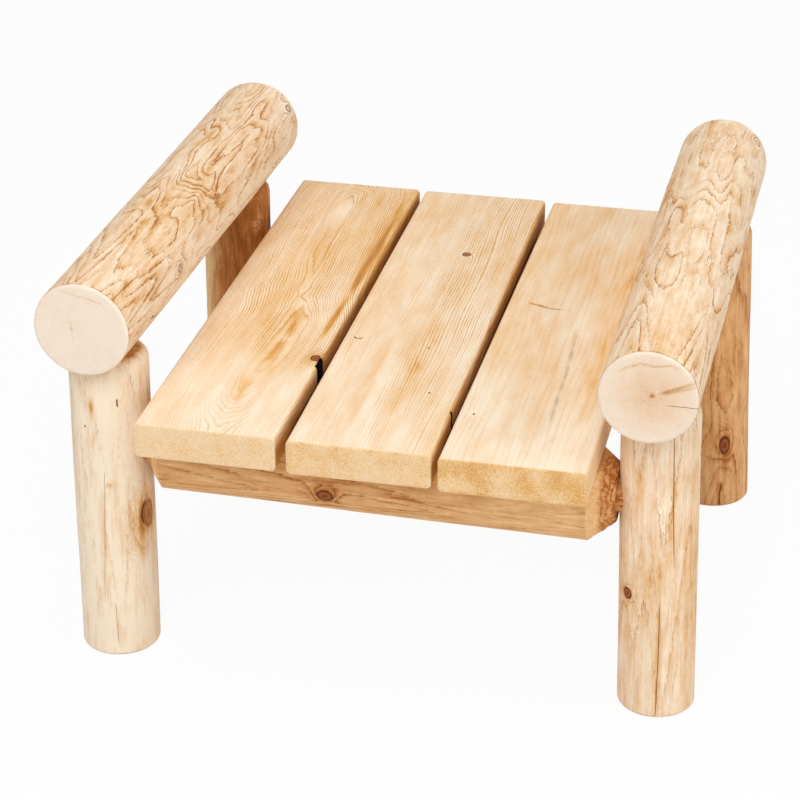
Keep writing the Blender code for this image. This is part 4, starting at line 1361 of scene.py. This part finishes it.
def turned_dowel(colours):
    """Turned hardwood: even, pale tan, with fine streaks along the dowel."""
    material, tree = new_tree("Turned hardwood dowel")
    place = add_node(tree, "ShaderNodeTexCoord", out="Object")
    drawn = add_node(tree, "ShaderNodeVectorMath", {0: place, 1: (1 / 0.0015, 1 / 0.0015, 1 / 0.030)},
                     operation="MULTIPLY")
    streak = add_node(tree, "ShaderNodeTexNoise", {"Vector": drawn, "Scale": 1.0, "Detail": 3.0})
    wood = add_node(tree, "ShaderNodeMix",
                    {0: streak, 6: (*colours.board_pale, 1), 7: (*colours.board_tan, 1)},
                    out=2, data_type="RGBA")
    shader = add_node(tree, "ShaderNodeBsdfPrincipled", {"Base Color": wood, "Roughness": 0.6})
    add_node(tree, "ShaderNodeOutputMaterial", {"Surface": shader})
    return material


# Stage

FLOOR_REACH = 8.0               # from the middle to each side
FLOOR_SHOWN_WHITE = 0.94        # the rest shows the paper, with the shadow on it
PAPER = (0.9, 0.9, 0.9, 1)
WHITE = (1, 1, 1, 1)
SENSOR_WIDTH = 36.0             # in millimetres


class OTTOMAN_OT_stage(bpy.types.Operator):
    """Set up the floor, the light and the camera"""
    bl_idname = "ottoman.make_stage"
    bl_label = "Make stage"

    def execute(self, context):
        studio = context.scene.log_ottoman.studio
        make_floor()
        light_room(context.scene, studio)
        place_camera(context.scene, studio)
        context.scene.view_settings.view_transform = "Standard"
        return {"FINISHED"}


def seen_as_white(tree):
    """1 for rays from the camera, straight, mirrored or through a surface, and 0 for rays of light."""
    camera = add_node(tree, "ShaderNodeLightPath", out="Is Camera Ray")
    glossy = add_node(tree, "ShaderNodeLightPath", out="Is Glossy Ray")
    through = add_node(tree, "ShaderNodeLightPath", out="Is Transmission Ray")
    mirrored = add_node(tree, "ShaderNodeMath", {0: glossy, 1: through}, operation="MAXIMUM")
    return add_node(tree, "ShaderNodeMath", {0: camera, 1: mirrored}, operation="MAXIMUM")


def make_floor():
    """A wide white floor that shows white to the camera but keeps a soft trace of the ottoman's shadow."""
    shape = bmesh.new()
    bmesh.ops.create_grid(shape, x_segments=1, y_segments=1, size=FLOOR_REACH)
    mesh = bpy.data.meshes.new("studio_floor")
    shape.to_mesh(mesh)
    shape.free()
    floor = bpy.data.objects.new("studio_floor", mesh)
    bpy.context.scene.collection.objects.link(floor)
    material, tree = new_tree("White studio paper")
    shown = add_node(tree, "ShaderNodeMath", {0: seen_as_white(tree), 1: FLOOR_SHOWN_WHITE},
                     operation="MULTIPLY")
    paper = add_node(tree, "ShaderNodeBsdfDiffuse", {"Color": PAPER})
    white = add_node(tree, "ShaderNodeEmission", {"Color": WHITE, "Strength": 1.0})
    mixed = add_node(tree, "ShaderNodeMixShader", {0: shown, 1: paper, 2: white})
    add_node(tree, "ShaderNodeOutputMaterial", {"Surface": mixed})
    mesh.materials.append(material)


def light_room(scene, studio):
    """A white room, which lights the ottoman softly, and three large soft lights."""
    world = bpy.data.worlds.new("White room")
    scene.world = world
    world.use_nodes = True
    tree = world.node_tree
    tree.nodes.clear()
    level = add_node(tree, "ShaderNodeMapRange", {"Value": seen_as_white(tree), "To Min": studio.ambient})
    room = add_node(tree, "ShaderNodeBackground", {"Color": WHITE, "Strength": level})
    add_node(tree, "ShaderNodeOutputWorld", {"Surface": room})

    for name, place, power in (
            ("key_softbox", (-0.2, -2.2, 2.3), studio.key_power),
            ("top_softbox", (0.0, 0.2, 2.5), studio.top_power),
            ("fill_softbox", (2.4, -0.6, 1.5), studio.fill_power)):
        light = bpy.data.lights.new(name, "AREA")
        light.energy = power
        light.size = studio.softbox_size
        lamp = bpy.data.objects.new(name, light)
        lamp.location = place
        lamp.rotation_euler = (LIGHT_AIM - lamp.location).to_track_quat("-Z", "Y").to_euler()
        scene.collection.objects.link(lamp)


def place_camera(scene, studio):
    """A camera where the photograph was taken from."""
    lens = bpy.data.cameras.new("photo_camera")
    lens.sensor_width = SENSOR_WIDTH
    lens.lens = studio.lens
    camera = bpy.data.objects.new("photo_camera", lens)
    turn = Matrix.Rotation(studio.azimuth, 4, "Z") @ Matrix.Rotation(math.pi / 2 - studio.elevation, 4, "X")
    roll = Matrix.Rotation(studio.roll, 4, "Z")
    camera.matrix_world = Matrix.Translation(studio.camera_place) @ turn @ roll
    scene.collection.objects.link(camera)
    scene.camera = camera


class OttomanSettings(bpy.types.PropertyGroup):
    """All settings of the log ottoman."""
    surface: PointerProperty(type=OttomanSurface)
    colours: PointerProperty(type=OttomanColours)
    studio: PointerProperty(type=OttomanStudio)


class OTTOMAN_PT_panel(bpy.types.Panel):
    """Buttons that build the ottoman and its stage"""
    bl_label = "Log ottoman"
    bl_space_type = "VIEW_3D"
    bl_region_type = "UI"
    bl_category = "Ottoman"

    def draw(self, context):
        for operator in OPERATORS:
            self.layout.operator(operator.bl_idname)


OPERATORS = (OTTOMAN_OT_legs, OTTOMAN_OT_arms, OTTOMAN_OT_rails, OTTOMAN_OT_boards, OTTOMAN_OT_screws,
             OTTOMAN_OT_dowels, OTTOMAN_OT_stage)
CLASSES = (OttomanSurface, OttomanColours, OttomanStudio, OttomanSettings, *OPERATORS, OTTOMAN_PT_panel)


def register():
    for each in CLASSES:
        bpy.utils.register_class(each)
    bpy.types.Scene.log_ottoman = PointerProperty(type=OttomanSettings)


def unregister():
    del bpy.types.Scene.log_ottoman
    for each in reversed(CLASSES):
        bpy.utils.unregister_class(each)


def main():
    register()
    bpy.ops.ottoman.make_legs()
    bpy.ops.ottoman.make_arms()
    bpy.ops.ottoman.make_rails()
    bpy.ops.ottoman.make_boards()
    bpy.ops.ottoman.make_screws()
    bpy.ops.ottoman.make_dowels()
    bpy.ops.ottoman.make_stage()


if __name__ == "__main__":
    main()
